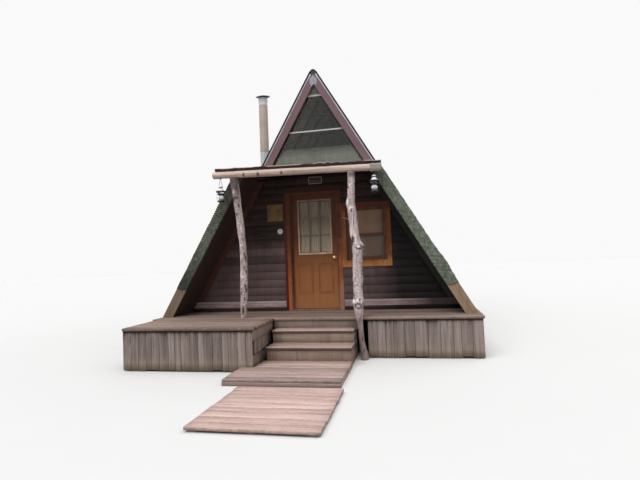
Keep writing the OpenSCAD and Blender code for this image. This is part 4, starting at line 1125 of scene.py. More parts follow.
class CABIN_OT_skirts(CabinOperator, bpy.types.Operator):
    """Stands the upright boards of the five skirts"""
    bl_idname = "cabin.skirts"
    bl_label = "Skirt boards"

    def execute(self, context):
        width = context.scene.cabin_sizes.skirt_board
        side, corner, far = SIDE_SKIRT_X, PLATFORM[0] + 0.021, BACK_Y
        front, near, end = PLATFORM_SKIRT_Y, STRIP_SKIRT_Y, SKIRT_END_X
        inner = end - SKIRT_THICK
        runs = {
            "skirt_front_left": [((PLATFORM[0] + 0.002, front), (PLATFORM_SKIRT_X, front),
                                  FRONT, 1.0)],
            "skirt_front_right": [((0.950, near), (end, near), FRONT, 1.25)],
            "skirt_left": [((corner, front), (corner, near - 0.021), LEFT, 1.0),
                           ((-side, near + 0.001), (-side, far), LEFT, 1.0),
                           ((-side - SKIRT_THICK, near), (corner, near), FRONT, 1.0)],
            "skirt_right": [((inner, near), (inner, -0.001), RIGHT, 1.0),
                            ((side, 0.020), (side, far), RIGHT, 1.0),
                            ((end, 0.000), (side, 0.000), BACK, 1.0)],
            "skirt_back": [((-side, far - SKIRT_THICK), (side, far - SKIRT_THICK), BACK, 1.0)],
        }
        seed = 20
        for node, lines in runs.items():
            for k, (a, b, out, share) in enumerate(lines):
                seed += 1
                piece = put(node + ("_boards_%d" % k if k else "_boards"),
                            fence_boards(a, b, out, width * share, seed), "skirt",
                            () if k else [node])
        return made(piece)


class CABIN_OT_steps(CabinOperator, bpy.types.Operator):
    """Makes the treads, the risers and sides of the steps, the landing and the boardwalk"""
    bl_idname = "cabin.steps"
    bl_label = "Steps, landing and boardwalk"

    def execute(self, context):
        x0, x1, level = STEP_X0, STEP_X1, -DECK
        upper = floor_boards(x0, x1, TREAD_Y[0], STEP_BACK, TREAD_TOPS[0], LUMBER, 0.136, 31)
        lower = floor_boards(x0 - 0.006, x1 + 0.006, TREAD_Y[1], TREAD_JOINT_Y, TREAD_TOPS[1],
                             LUMBER, 0.163, 32)
        put("tread_boards", join(upper, lower), "tread", ["step_treads"])

        parts = []
        left, right = x0 + 0.044, x1 - 0.044
        for y, back, top, seed in ((RISER_Y[0], STEP_BACK, TREAD_TOPS[0], 33),
                                   (RISER_Y[1], TREAD_JOINT_Y, TREAD_TOPS[1], 34)):
            high, face = top - LUMBER, y + LUMBER
            parts.append(stacked_boards((x0 + 0.006, face), (x1 - 0.006, face), high, FRONT, seed,
                                        0.0015, 8))
            parts += [stacked_boards((x, face + 0.0005), (x, back), high, out, seed + 7, 0.001, 4)
                      for x, out in ((left, LEFT), (right, RIGHT))]
        parts.append(stacked_boards((right, -1.0065), (right, -0.850), -0.191, RIGHT, 44))
        put("riser_boards", join(*parts), "riser", ["step_boxes"])

        left, right, front, back = LANDING_X0, LANDING_X1, LANDING_Y0 + LUMBER, LANDING_Y1
        thick, rim, z = 0.028, 0.05, level + 0.026
        put("landing_boards", join(
            floor_boards(left, right, LANDING_Y0, back, LANDING_TOP, thick, 0.15, 35, drop=0.004),
            floor_boards(LANDING_STRIP_X0, right, back + 0.002, LANDING_STRIP_Y1, LANDING_TOP,
                         thick, 0.15, 36),
            boards((left, front, z), (right, front, z), UP, FRONT, rim, 0.036, 37, rough=0.001),
            boards((left + LUMBER, -2.56, z), (left + LUMBER, back, z), UP, LEFT, rim, 0.036, 38),
            boards((right - LUMBER, -2.56, z), (right - LUMBER, -1.57, z), UP, RIGHT, rim, 0.036,
                   39)), "landing", ["landing"])

        walk = floor_boards(*WALK, WALK_TOP, 0.030, 0.145, 40, gap=0.009, rough=0.002, drop=0.008)
        front, back = WALK[2] + 0.030, WALK[3] - 0.030
        sleepers = [boards((x, front, level), (x, back, level), RIGHT, UP, 0.089, 0.0195, 41)
                    for x in SLEEPERS_X]
        put("walk_boards", join(walk, *sleepers), "walk", ["boardwalk"])
        return made(put("fascia_boards", join(*self.fascia()), "fascia",
                        ["deck_fascia"]))

    def fascia(self):
        """The board behind the steps, and the platform's right side: a board at the top, a beam
        low down, and uprights of several lengths between them."""
        front, back, z, high = PLATFORM_SKIRT_Y, STEP_BACK, -0.114, 0.151
        face, beam = PLATFORM_SKIRT_X - LUMBER, PLATFORM_SKIRT_X - 2 * LUMBER
        y = np.array([-1.757, -1.585, -1.400, -1.243])
        foot = -0.395 + np.array([0.012, -0.004, 0.010, 0.022])
        ends = np.array([front + 0.030, back - 0.030])
        return [boards((PLATFORM[1], -0.968, z), (0.800, -0.968, z), UP, FRONT, high, LUMBER, 45,
                       rough=0.0012),
                boards((face, front, z), (face, back, z), UP, RIGHT, high, LUMBER, 46,
                       rough=0.0012),
                boards((beam, front, -0.4975), (beam, back, -0.4975), UP, RIGHT, 0.224, 0.037, 47),
                boards(grid(face, y, foot), grid(face, y, -0.1895), BACK, RIGHT,
                       [0.158, 0.166, 0.150, 0.154], 0.028, 48, rough=0.001),
                boards(grid(beam, ends, -0.387), grid(beam, ends, -0.181), BACK, RIGHT, 0.060,
                       LUMBER, 49)]


class CABIN_OT_siding(CabinOperator, bpy.types.Operator):
    """Laps the dark siding on the front wall and on the back wall"""
    bl_idname = "cabin.siding"
    bl_label = "Siding"

    def execute(self, context):
        course = context.scene.cabin_sizes.course
        hole = (-WINDOW_HALF, WINDOW_HALF, *WINDOW[2:])
        front = siding_courses(course, -0.0005, FRONT, [DOOR_HOLE, WINDOW], FRONT_SIDING_TOP, 51)
        back = siding_courses(course, BACK_Y + 0.0005, BACK, [hole], BACK_SIDING_TOP, 52)
        put("siding_front", front, "siding")
        return made(put("siding_back", back, "siding"))


class CABIN_OT_roofing(CabinOperator, bpy.types.Operator):
    """Rolls the green roofing over the two roof planes, with its laps, buckles and ridge strip"""
    bl_idname = "cabin.roofing"
    bl_label = "Main roofing"

    def execute(self, context):
        roll = context.scene.cabin_sizes.roll
        foot, peak = ((z - SKIN * COS) / SIN for z in (-0.063, 4.392))
        nails = []
        for side, name in ((-1, "left"), (1, "right")):
            parts = []
            for k in range(math.ceil((peak - foot) / roll)):
                low, high = foot + k * roll, min(foot + (k + 1) * roll + 0.06, peak)
                s = np.linspace(low, high, 22)[:, None]
                y = np.linspace(ROOF_Y0 - 0.004, ROOF_Y1 + 0.004, 96)[None, :]
                s = s + 0.004 * ripple(60 + k, 4, (y, 1.3)) * (s == low)
                buckle = 1 + ripple(70 + k + 9 * side, 7, (s, 0.5), (y, 0.6)) * 0.5
                t = SKIN + 0.001 + 0.0035 * np.exp(-(s - low) / 0.10) + 0.0016 * buckle
                parts.append(shell(roof_points(side, s, t, y),
                                   roof_points(side, s, SKIN - 0.004, y)))
                if k:
                    places = roof_points(side, low + 0.025, SKIN + 0.0055,
                                         np.arange(ROOF_Y0 + 0.05, ROOF_Y1, 0.11))
                    nails.append(studs(places, (side * SIN, 0, COS), 0.007))
            put("roll_roofing_" + name, join(*parts), "roof")
        put("roofing_nails", join(*nails), "nail")
        return made(put("ridge_strip", self.ridge(), "roof", ["ridge_cap"]))

    def ridge(self):
        """The strip over the ridge: straight down each plane, and a round of 58 mm on the peak."""
        radius, t = 0.058, SKIN + 0.005
        centre = (ROOF_IN + t / SIN) * TAN - radius / COS
        turn = np.linspace(-SLOPE, SLOPE, 15)
        bend = np.stack([radius * np.sin(turn), centre + radius * np.cos(turn)], axis=1)
        down = np.linspace(4.235, bend[-1, 1], 6)[:-1]
        plane = np.stack([half_width(t, down), down], axis=1)
        x, z = np.concatenate([plane * (-1, 1), bend, plane[::-1]]).T
        y = np.linspace(ROOF_Y0 - 0.006, ROOF_Y1 + 0.006, 80)[:, None]
        return shell(grid(x, y, z + 0.0015 * ripple(88, 6, (y, 0.5))), grid(x, y, z - 0.006))


class CABIN_OT_wings(CabinOperator, bpy.types.Operator):
    """Wraps the wings in roofing: an outline round the front, carried up each wing and pushed
    along its normal by ripples on the left, by small folds and a flaring foot on the right"""
    bl_idname = "cabin.wings"
    bl_label = "Wing roofing"

    def execute(self, context):
        hem = [[-0.010, -0.690], [-0.0155, -0.700], [-0.016, -0.718], [-0.0135, -0.7255],
               [-0.008, -0.728]]
        face = np.stack([np.linspace(0.0, 0.150, 16), np.full(16, -0.7285)], axis=1)
        corner = [[0.1545, -0.7275], [0.1575, -0.7245], [0.159, -0.718]]
        outside = np.stack([np.full(22, 0.1595), np.linspace(-0.70, ROOF_Y0 - 0.0005, 22)], axis=1)
        outline = np.concatenate([hem, face, corner, outside])
        step = np.gradient(outline, axis=0)
        outward = np.stack([step[:, 1], -step[:, 0]], axis=1)
        outward = outward / np.linalg.norm(outward, axis=1)[:, None]
        (t, y), (nt, ny) = outline.T[:, None, :], outward.T[:, None, :]
        up = np.linspace(0, 1, 260)[:, None]
        share = np.clip((t + 0.012) / 0.17, 0, 1)
        for side, name, top in ((-1, "left", 2.374), (1, "right", 2.324)):
            if side < 0:
                foot = 0.452 + 0.03 * share + 0.006 * np.sin(t * 60)
                z = foot + (top - foot) * up
                fold = self.left_folds(t, y, z)
                flare = 0.0
            else:
                foot = 0.423 + 0.047 * share + 0.005 * np.sin(t * 50 + 1)
                z = foot + (top - foot) * up
                fold = 0.0022 * ripple(93, 7, (z, 0.12), (t, 0.15))
                fold = fold + 0.0016 * np.sin(2 * np.pi * z / 0.055 + 9 * t) * bell(z, 0.75, 0.25)
                fold = fold * np.exp(-np.maximum(0, y + 0.72) / 0.10)
                near = np.exp(-np.maximum(0, y + 0.725) / 0.045)
                flare = 0.021 * bell(z, 0.79, 0.16) * near * np.clip((t - 0.03) / 0.12, 0, 1)
            t2, y2 = t + flare + fold * nt, y + fold * ny
            t3, y3 = t2 - 0.0035 * nt, y2 - 0.0035 * ny
            sheet = shell(grid(side * half_width(t2, z), y2, z),
                          grid(side * half_width(t3, z), y3, z))
            piece = put("wrapped_roofing_" + name, sheet, "wing_roof_" + name,
                        ["wing_roofing_" + name], smooth=True)
        return made(piece)

    def left_folds(self, t, y, z):
        """The left wing's ripples: a sine of 36 mm that is strong at 1.78 m, softer waves, a
        crease across and a swell at the foot, all fading back along the side."""
        bent = z + 0.010 * ripple(91, 4, (t, 0.2), (y, 0.3))
        fold = 0.0052 * (bell(z, 1.78, 0.42) + 0.25) * np.sin(2 * np.pi * bent / 0.036)
        fold = fold + 0.003 * ripple(92, 6, (z, 0.16), (t, 0.3))
        fold = fold + 0.006 * bell(z - 0.1 * t, 1.47, 0.012)
        fold = fold + 0.004 * bell(z, 0.56, 0.05) * np.sin(t * 40)
        return fold * np.exp(-np.maximum(0, y + 0.72) / 0.12)


class CABIN_OT_rakes(CabinOperator, bpy.types.Operator):
    """Adds the pale drip edges and the dark roofing edge along the rakes, front and back"""
    bl_idname = "cabin.rakes"
    bl_label = "Rake edges"

    def execute(self, context):
        g, b, r = GABLE_Y, BACK_Y, ROOF_Y1
        pale = [slope_bar(side, *bar) for side in (-1, 1) for bar in (
            (0.117, 0.141, 2.46, 4.310, g - 0.035, g - 0.027, 101),
            (0.139, 0.146, -0.05, 4.345, b + 0.027, b + 0.038, 103))]
        dark = [slope_bar(side, *bar) for side in (-1, 1) for bar in (
            (0.141, 0.168, 2.46, 4.365, g - 0.042, g - 0.024, 102),
            (0.157, 0.166, -0.05, 4.388, r - 0.004, r + 0.006, 104))]
        put("drip_edges", join(*pale), "drip")
        return made(put("roofing_lips", join(*dark), "lip"))


# Each ring of a post is (x, y, z, radius); each knot (place, angle, height, reach) with its place
# counted in rings; each mark (x, z, half width, half height, depth)
LEFT_POST = [
    (-1.040, -0.915, 0, 0.050), (-1.034, -0.915, 0.120, 0.049), (-1.023, -0.915, 0.380, 0.059),
    (-1.016, -0.915, 0.600, 0.057), (-1.012, -0.916, 0.800, 0.055), (-1.013, -0.917, 1.000, 0.052),
    (-1.018, -0.918, 1.180, 0.052), (-1.035, -0.919, 1.380, 0.055), (-1.053, -0.920, 1.570, 0.055),
    (-1.078, -0.920, 1.780, 0.058), (-1.097, -0.920, 1.970, 0.060), (-1.120, -0.920, 2.150, 0.063),
    (-1.134, -0.920, beam_under(-1.134) - 0.003, 0.064)]
LEFT_KNOTS = [(1.1, 200, 0.009, 0.35), (3.4, 20, 0.008, 0.3), (5.2, 160, 0.007, 0.3),
              (7.5, 30, 0.008, 0.3), (9.6, 220, 0.009, 0.3), (2.3, 250, 0.006, 0.2),
              (6.4, 290, 0.006, 0.2)]
LEFT_MARKS = [
    # the first, broad mark is painted shade on the post's top under the roof
    (-1.11, 2.2, 0.2, 0.45, 0.95), (-1.03, 0.13, 0.022, 0.07, 1.6),
    (-1.05, 0.4, 0.015, 0.03, 1.28), (-0.985, 0.52, 0.012, 0.03, 1.28),
    (-1.02, 0.66, 0.03, 0.02, -1.28), (-0.99, 0.8, 0.012, 0.05, 1.12),
    (-1.03, 0.9, 0.02, 0.03, 0.96), (-0.985, 1.02, 0.012, 0.04, 1.12),
    (-1.04, 1.16, 0.016, 0.03, -1.12), (-1.01, 1.33, 0.012, 0.06, 0.96),
    (-1.06, 1.52, 0.012, 0.03, -1.28), (-1.08, 1.66, 0.016, 0.02, 1.28),
    (-1.05, 1.8, 0.012, 0.03, 1.12), (-1.1, 1.93, 0.03, 0.015, 1.44),
    (-1.125, 2.03, 0.02, 0.04, -0.96), (-1.09, 2.1, 0.016, 0.03, 1.12),
    (-0.968, 0.95, 0.012, 0.05, 1.3), (-0.965, 0.74, 0.01, 0.04, 1.2),
    (-0.975, 0.45, 0.013, 0.06, 1.3), (-1, 0.3, 0.012, 0.04, 1.2),
    (-1.01, 0.22, 0.012, 0.03, -1.2), (-1.045, 0.72, 0.012, 0.05, -1.1),
    (-1.048, 0.95, 0.012, 0.06, -1.2), (-1, 1.12, 0.01, 0.03, 1.1),
    (-1.02, 1.44, 0.01, 0.05, -1.2)]
RIGHT_POST = [
    (0.898, -1.100, -0.610, 0.062), (0.896, -1.100, -0.530, 0.050), (0.880, -1.102, -0.430, 0.042),
    (0.863, -1.103, -0.280, 0.037), (0.854, -1.103, -0.130, 0.039), (0.843, -1.096, -0.020, 0.050),
    (0.835, -1.085, 0.060, 0.064), (0.831, -1.070, 0.130, 0.072), (0.828, -1.050, 0.220, 0.079),
    (0.829, -1.030, 0.310, 0.072), (0.826, -1.000, 0.450, 0.072), (0.826, -0.975, 0.640, 0.073),
    (0.832, -0.950, 0.850, 0.073), (0.838, -0.940, 1.000, 0.074), (0.832, -0.930, 1.110, 0.070),
    (0.808, -0.925, 1.230, 0.063), (0.792, -0.922, 1.400, 0.062), (0.778, -0.920, 1.560, 0.062),
    (0.768, -0.920, 1.720, 0.060), (0.772, -0.920, 1.850, 0.058), (0.779, -0.920, 2.000, 0.055),
    (0.783, -0.920, 2.120, 0.054), (0.785, -0.920, beam_under(0.785) - 0.003, 0.054)]
RIGHT_KNOTS = [(8.1, 200, 0.022, 0.5), (8.4, 320, 0.018, 0.5), (7.7, 80, 0.016, 0.4),
               (13.6, 350, 0.044, 0.42), (13.2, 190, 0.012, 0.4), (15.3, 185, 0.012, 0.5),
               (18.1, 190, 0.020, 0.4), (17.2, 250, 0.010, 0.3), (10.6, 10, 0.008, 0.4),
               (20.5, 30, 0.007, 0.3), (18.6, 265, 0.008, 0.25), (14.9, 260, 0.009, 0.3)]
RIGHT_MARKS = [
    # the first, broad pale mark is a painted highlight on the post's middle
    (0.790, 1.400, 0.12, 0.32, -0.36), (0.772, 1.618, 0.017, 0.026, 2.0),
    (0.772, 1.668, 0.034, 0.018, -1.6), (0.745, 1.640, 0.012, 0.030, -1.0),
    (0.750, 1.470, 0.0075, 0.110, 1.7), (0.772, 1.440, 0.0075, 0.130, 1.7),
    (0.797, 1.460, 0.0075, 0.120, 1.5), (0.761, 1.440, 0.0070, 0.160, -1.6),
    (0.785, 1.430, 0.0070, 0.160, -1.6), (0.752, 1.300, 0.010, 0.060, -1.6),
    (0.776, 1.180, 0.020, 0.055, 2.2), (0.762, 1.110, 0.016, 0.030, 2.0),
    (0.735, 1.190, 0.014, 0.070, -1.4), (0.820, 1.170, 0.012, 0.100, -1.0),
    (0.862, 1.062, 0.020, 0.014, -2.2), (0.866, 1.030, 0.032, 0.010, 2.0),
    (0.832, 1.055, 0.010, 0.030, 1.4), (0.900, 1.070, 0.012, 0.030, 1.2),
    (0.715, 1.745, 0.014, 0.060, -1.8), (0.735, 1.975, 0.010, 0.035, 1.5),
    (0.760, 2.010, 0.014, 0.030, -1.6), (0.742, 1.900, 0.010, 0.050, -1.4),
    # the first two here are painted shade: on the post's top and down its right side
    (0.800, 2.170, 0.090, 0.060, 0.9), (0.893, 0.640, 0.026, 0.420, 0.55),
    # the first one here is a painted highlight down the post's left side
    (0.775, 0.700, 0.024, 0.380, -0.60), (0.812, 1.400, 0.020, 0.180, 0.35),
    (0.885, 0.240, 0.012, 0.040, -1.6), (0.800, 0.190, 0.014, 0.030, 1.6),
    (0.770, 0.245, 0.014, 0.030, -1.5), (0.840, 0.215, 0.020, 0.013, 1.8),
    (0.865, 0.275, 0.015, 0.018, 1.6), (0.820, 0.265, 0.013, 0.022, -1.6),
    (0.845, 0.240, 0.010, 0.020, -1.4), (0.790, 0.285, 0.016, 0.014, 1.4),
    (0.875, 0.185, 0.012, 0.018, 1.2), (0.850, 0.150, 0.040, 0.013, 1.4),
    (0.880, -0.300, 0.016, 0.070, 1.1), (0.900, -0.470, 0.020, 0.060, 0.9),
    (0.845, -0.080, 0.012, 0.060, 0.7), (0.880, -0.150, 0.010, 0.080, -0.5)]
TWIG = [(0.79, -0.92, 1.49, 0.018), (0.735, -0.922, 1.495, 0.016), (0.690, -0.925, 1.493, 0.014),
        (0.655, -0.926, 1.504, 0.012), (0.628, -0.926, 1.517, 0.008)]
TWIG_KNOTS = [(1.6, 90, 0.004, 0.3), (3.4, 60, 0.006, 0.3)]
TWIG_MARKS = [(0.690, 1.495, 0.12, 0.060, 1.3)]
BEAM_KNOTS = [(0.9, 205, 0.002, 0.08), (2.07, 200, 0.006, 0.09), (2.69, 200, 0.007, 0.09),
              (3.7, 200, 0.006, 0.09), (5.7, 150, 0.002, 0.10), (7.4, 200, 0.002, 0.09)]


class CABIN_OT_logs(CabinOperator, bpy.types.Operator):
    """Carves the two crooked posts and the tapered log beam with its square end block"""
    bl_idname = "cabin.logs"
    bl_label = "Log posts and beam"

    def execute(self, context):
        left = log(LEFT_POST, LEFT_KNOTS, 22, 64, True, 111, 0.0022, LEFT_MARKS)
        right = log(RIGHT_POST, RIGHT_KNOTS, 16, 80, True, 112, 0.0021, RIGHT_MARKS)
        twig = log(TWIG, TWIG_KNOTS, 10, 16, False, 113, 0.0006, TWIG_MARKS)
        put("left_log_post", left, "post", ["post_left"], smooth=True)
        put("right_log_post", join(right, twig), "post", ["post_right"], smooth=True)

        share = np.array([0, 0.08, 0.2, 0.35, 0.5, 0.65, 0.8, 0.92, 1])
        wander = np.array([0, 0.003, -0.002, 0.003, -0.003, 0.002, -0.002, 0.001, 0])
        x = BEAM_X0 + share * (BEAM_X1 - BEAM_X0)
        radius = beam_radius(x)
        rings = np.stack([x, BEAM_Y + wander, beam_under(x) + radius, radius], axis=1)
        marks = []
        for x, deep in ((-0.944, 1.0), (-0.705, 1.6), (-0.316, 1.2), (-0.10, 0.4), (0.42, 0.5),
                        (0.80, 0.4)):
            z = beam_under(x) + 0.75 * beam_radius(x)
            marks += [(x, z, 0.040, 0.020, -0.9 * deep), (x, z - 0.002, 0.016, 0.011, 2.6 * deep),
                      (x - 0.05, z + 0.03, 0.10, 0.005, 0.30 * deep)]
        # painted highlight along the top of the beam's right end
        marks.append((0.98, beam_under(0.98) + 1.3 * beam_radius(0.98), 0.30, 0.05, -0.50))
        put("log_beam", log(rings, BEAM_KNOTS, 60, 96, False, 114, 0.0012, marks), "log",
            ["porch_beam"], smooth=True)
        half = 0.058
        top = PORCH_Z - PORCH_X1 * math.tan(PORCH_TILT) - half * math.tan(PORCH_PITCH) - 0.001
        y, z = BEAM_Y + half, (BLOCK_FOOT + top) / 2
        block = boards((BEAM_X1 + 0.001, y, z), (PORCH_X1, y, z), UP, FRONT, top - BLOCK_FOOT,
                       2 * half, 115, edge=0.006, rough=0.001)
        return made(put("beam_end_block", block, "block"))


class CABIN_OT_porch(CabinOperator, bpy.types.Operator):
    """Covers the porch roof with worn felt whose front edge is ragged and curls up in places:
    the sum of a bell for each curl, fading back from the edge by an exponential"""
    bl_idname = "cabin.porch"
    bl_label = "Porch roofing"

    def execute(self, context):
        batten = 0.045
        middle, width = rows_of(PORCH_V0 + batten + 0.001, PORCH_V1, 0.155, 0.004, 125, 0.1)
        middle, width = np.append(PORCH_V0 + batten / 2, middle), np.append(batten, width)
        thick = np.append(LUMBER, np.full(len(middle) - 1, PORCH_BOARD - 0.001))
        back, up = (porch_place(0, *way) - porch_place(0, 0, 0) for way in ((1.0, 0.0), (0.0, 1.0)))
        roof = boards(porch_place(PORCH_X0, middle, 0.0005),
                      porch_place(porch_end(middle), middle, 0.0005), back, up, width, thick, 126,
                      skew=(0.0, -0.064), rough=0.0008, sections=12)
        put("porch_boards", roof, "porch", ["porch_roof"])

        # The felt's section: a lifted lip, then a fall on to the boards that eases in and out
        lip = np.array([[-0.0055, 0.0335], [-0.0070, 0.0350], [-0.0075, 0.0385],
                        [-0.0065, 0.0430], [-0.003, 0.0460], [0.004, 0.0470]]) + (PORCH_V0, 0)
        flat = np.linspace(PORCH_V0 + 0.018, PORCH_V1, 46)
        fall = np.clip((flat - 0.012) / 0.05, 0, 1)
        top = PORCH_BOARD + 0.0225 - 0.0135 * fall * fall * (3 - 2 * fall)
        flat = np.stack([flat, top], axis=1)
        v, w = np.concatenate([lip, flat]).T[:, None, :]
        share = np.linspace(0, 1, 220)[:, None]
        x = PORCH_X0 - 0.004 + (porch_end(v) + 0.008 - PORCH_X0) * share
        edge = np.exp(-(v - PORCH_V0 + 0.008) / 0.05)
        ragged = 0.004 * ripple(121, 6, (x, 0.09)) + 0.003 * ripple(122, 5, (x, 0.03))
        curl = sum(height * bell(x, at, wide) for at, wide, height in (
            (0.06, 0.07, 0.010), (0.30, 0.05, 0.016), (0.43, 0.035, 0.022), (0.56, 0.06, 0.012),
            (-0.62, 0.05, 0.006), (-1.1, 0.04, 0.005), (1.05, 0.09, 0.006)))
        w = w + curl * edge + 0.002 * ripple(123, 7, (x, 0.4), (v + 0 * x, 0.4)) * (1 - edge)
        lap = 0.0025 * (np.floor((v - PORCH_V0) / 0.28) % 2 == 0) * (v > 0.02)
        threads = 0.90 + 0.30 * ripple(124, 6, (x, 0.45)) + 0.12 * ripple(127, 5, (x, 0.05))
        bare = (bell(v, PORCH_V0 - 0.004, 0.018) * threads).ravel()
        v = v + np.minimum(ragged, 0.002) * edge
        felt = shell(porch_place(x, v, w + lap),
                     porch_place(x, v + 0.004 * edge, w - 0.005 * (1 - edge) - 0.003))
        felt[2]["bare"] = np.concatenate([bare, 0 * bare])
        return made(put("porch_felt_sheet", felt, "porch_felt", ["porch_roofing"]))


class CABIN_OT_lanterns(CabinOperator, bpy.types.Operator):
    """Hangs the two lanterns, turned from outlines of radius and height: black hook or bail and
    wires, white shade, glass collar and milk globe"""
    bl_idname = "cabin.lanterns"
    bl_label = "Lanterns"

    def execute(self, context):
        black, white, glass, globe = [], [], [], []
        for x, top, hook in ((1.134, BLOCK_FOOT - 0.0003, 0.050),
                             (-1.367, beam_under(-1.367) - 0.001, 0.117)):
            at, low = (x, BEAM_Y, top), (x, BEAM_Y, top - hook)
            if x > 0:
                black.append(lathe([(0, 0), (0.026, 0), (0.026, -0.005), (0.020, -0.008),
                                    (0.005, -0.010), (0.0045, 0.002 - hook),
                                    (0.010, -hook - 0.001), (0, -hook - 0.002)], at, 32))
            else:
                black.append(lathe([(0, 0), (0.016, 0), (0.016, -0.004), (0.006, -0.010),
                                    (0, -0.011)], at, 32))
                for side in (-1, 1):
                    bail = [(x + side * 0.034, BEAM_Y, low[2] - 0.036, 0.0035),
                            (x + side * 0.020, BEAM_Y, top - 0.075, 0.0032),
                            (x + side * 0.003, BEAM_Y, top - 0.006, 0.0035)]
                    black.append(plain(log(bail, [], 8, 10, True, 6)))
            black += [
                lathe([(0.001, -0.028), (0.022, -0.028), (0.024, -0.034), (0.022, -0.042),
                       (0.001, -0.043)], low, 40),
                lathe([(0.050, -0.084), (0.077, -0.086), (0.080, -0.090), (0.080, -0.102),
                       (0.076, -0.106), (0.048, -0.104)], low, 56),
                lathe([(0.030, -0.126), (0.056, -0.128), (0.058, -0.134), (0.050, -0.150),
                       (0.030, -0.152)], low),
                lathe([(0.001, -0.240), (0.052, -0.240), (0.060, -0.246), (0.060, -0.260),
                       (0.050, -0.266), (0.001, -0.268)], low)]
            fall = np.linspace(1, 0, 13)
            reach = 0.058 + 0.014 * np.sin(np.pi * fall) ** 0.8
            for turn in np.radians((0, 90, 180, 270)):
                guard = np.stack([x + reach * math.cos(turn), BEAM_Y + reach * math.sin(turn),
                                  low[2] - 0.104 - 0.146 * fall, 0 * fall + 0.0020], axis=1)
                black.append(plain(log(guard, [], 1, 8, True, 5)))
            white += [
                lathe([(0.001, 0.0), (0.012, -0.001), (0.026, -0.008), (0.033, -0.019),
                       (0.031, -0.026), (0.001, -0.027)], low),
                lathe([(0.001, -0.042), (0.028, -0.043), (0.032, -0.050), (0.040, -0.062),
                       (0.050, -0.074), (0.064, -0.083), (0.062, -0.086), (0.001, -0.084)], low,
                      56)]
            glass.append(lathe([(0.001, -0.105), (0.044, -0.105), (0.050, -0.110),
                                (0.050, -0.120), (0.044, -0.126), (0.001, -0.127)], low))
            tilt = np.linspace(0.06, np.pi - 0.06, 22)
            ball = np.stack([0.048 * np.sin(tilt), -0.195 + 0.0445 * np.cos(tilt)], axis=1)
            globe.append(lathe(ball, low, 40))
        put("lantern_frames", join(*black), "black", ["lanterns"])
        for name, parts, look in (("shades", white, "enamel"), ("glass", glass, "lantern_glass"),
                                  ("globes", globe, "globe")):
            piece = put("lantern_" + name, join(*parts), look, smooth=True)
        return made(piece)


class CABIN_OT_windows(CabinOperator, bpy.types.Operator):
    """Hangs the blinds' slats, each a shallow parabola across, behind the window panes, and the
    curtain, a sine of 32 mm whose phase drifts with the height, behind the door's glass"""
    bl_idname = "cabin.windows"
    bl_label = "Blinds and curtain"

    def execute(self, context):
        reach = WINDOW_HALF - 0.021
        heights = np.linspace(WINDOW[2] + 0.028, WINDOW[3] - 0.03, context.scene.cabin_sizes.slats)
        across = np.linspace(-1, 1, 9)[None, :]
        parts = []
        for centre, y, inwards in ((WINDOW_MIDDLE, 0.0775, 1), (0.0, BACK_Y - 0.0775, -1)):
            for k, height in enumerate(heights):
                x = np.array([[centre - reach], [centre + reach]])
                depth = y - inwards * 0.0015 * across * across
                z = height + 0.0118 * across + 0.0006 * np.sin(k * 7.0)
                parts.append(shell(grid(x, depth, z), grid(x, depth + inwards * 0.0008, z)))
        put("blind_slats", join(*parts), "blind", ["window_shades"])

        x0, x1 = LIGHT[0] + LIGHT_RIM, LIGHT[1] - LIGHT_RIM
        z0, z1 = LIGHT[2] + LIGHT_RIM, LIGHT[3] - LIGHT_RIM
        x, z = np.linspace(x0, x1, 240)[None, :], np.linspace(z0, z1, 40)[:, None]
        y = DOOR_Y + 0.0385 + 0.001 * ripple(131, 5, (x, 0.2), (z, 0.6))
        y = y + 0.0035 * np.sin(2 * np.pi * (x - x0) / 0.032 + 0.5 * np.sin(z * 4))
        folds = grid(x, y, z)
        curtain = put("door_curtain", shell(folds, folds + (0, 0.0008, 0)), "curtain",
                      body="door", smooth=True)
        return made(curtain)


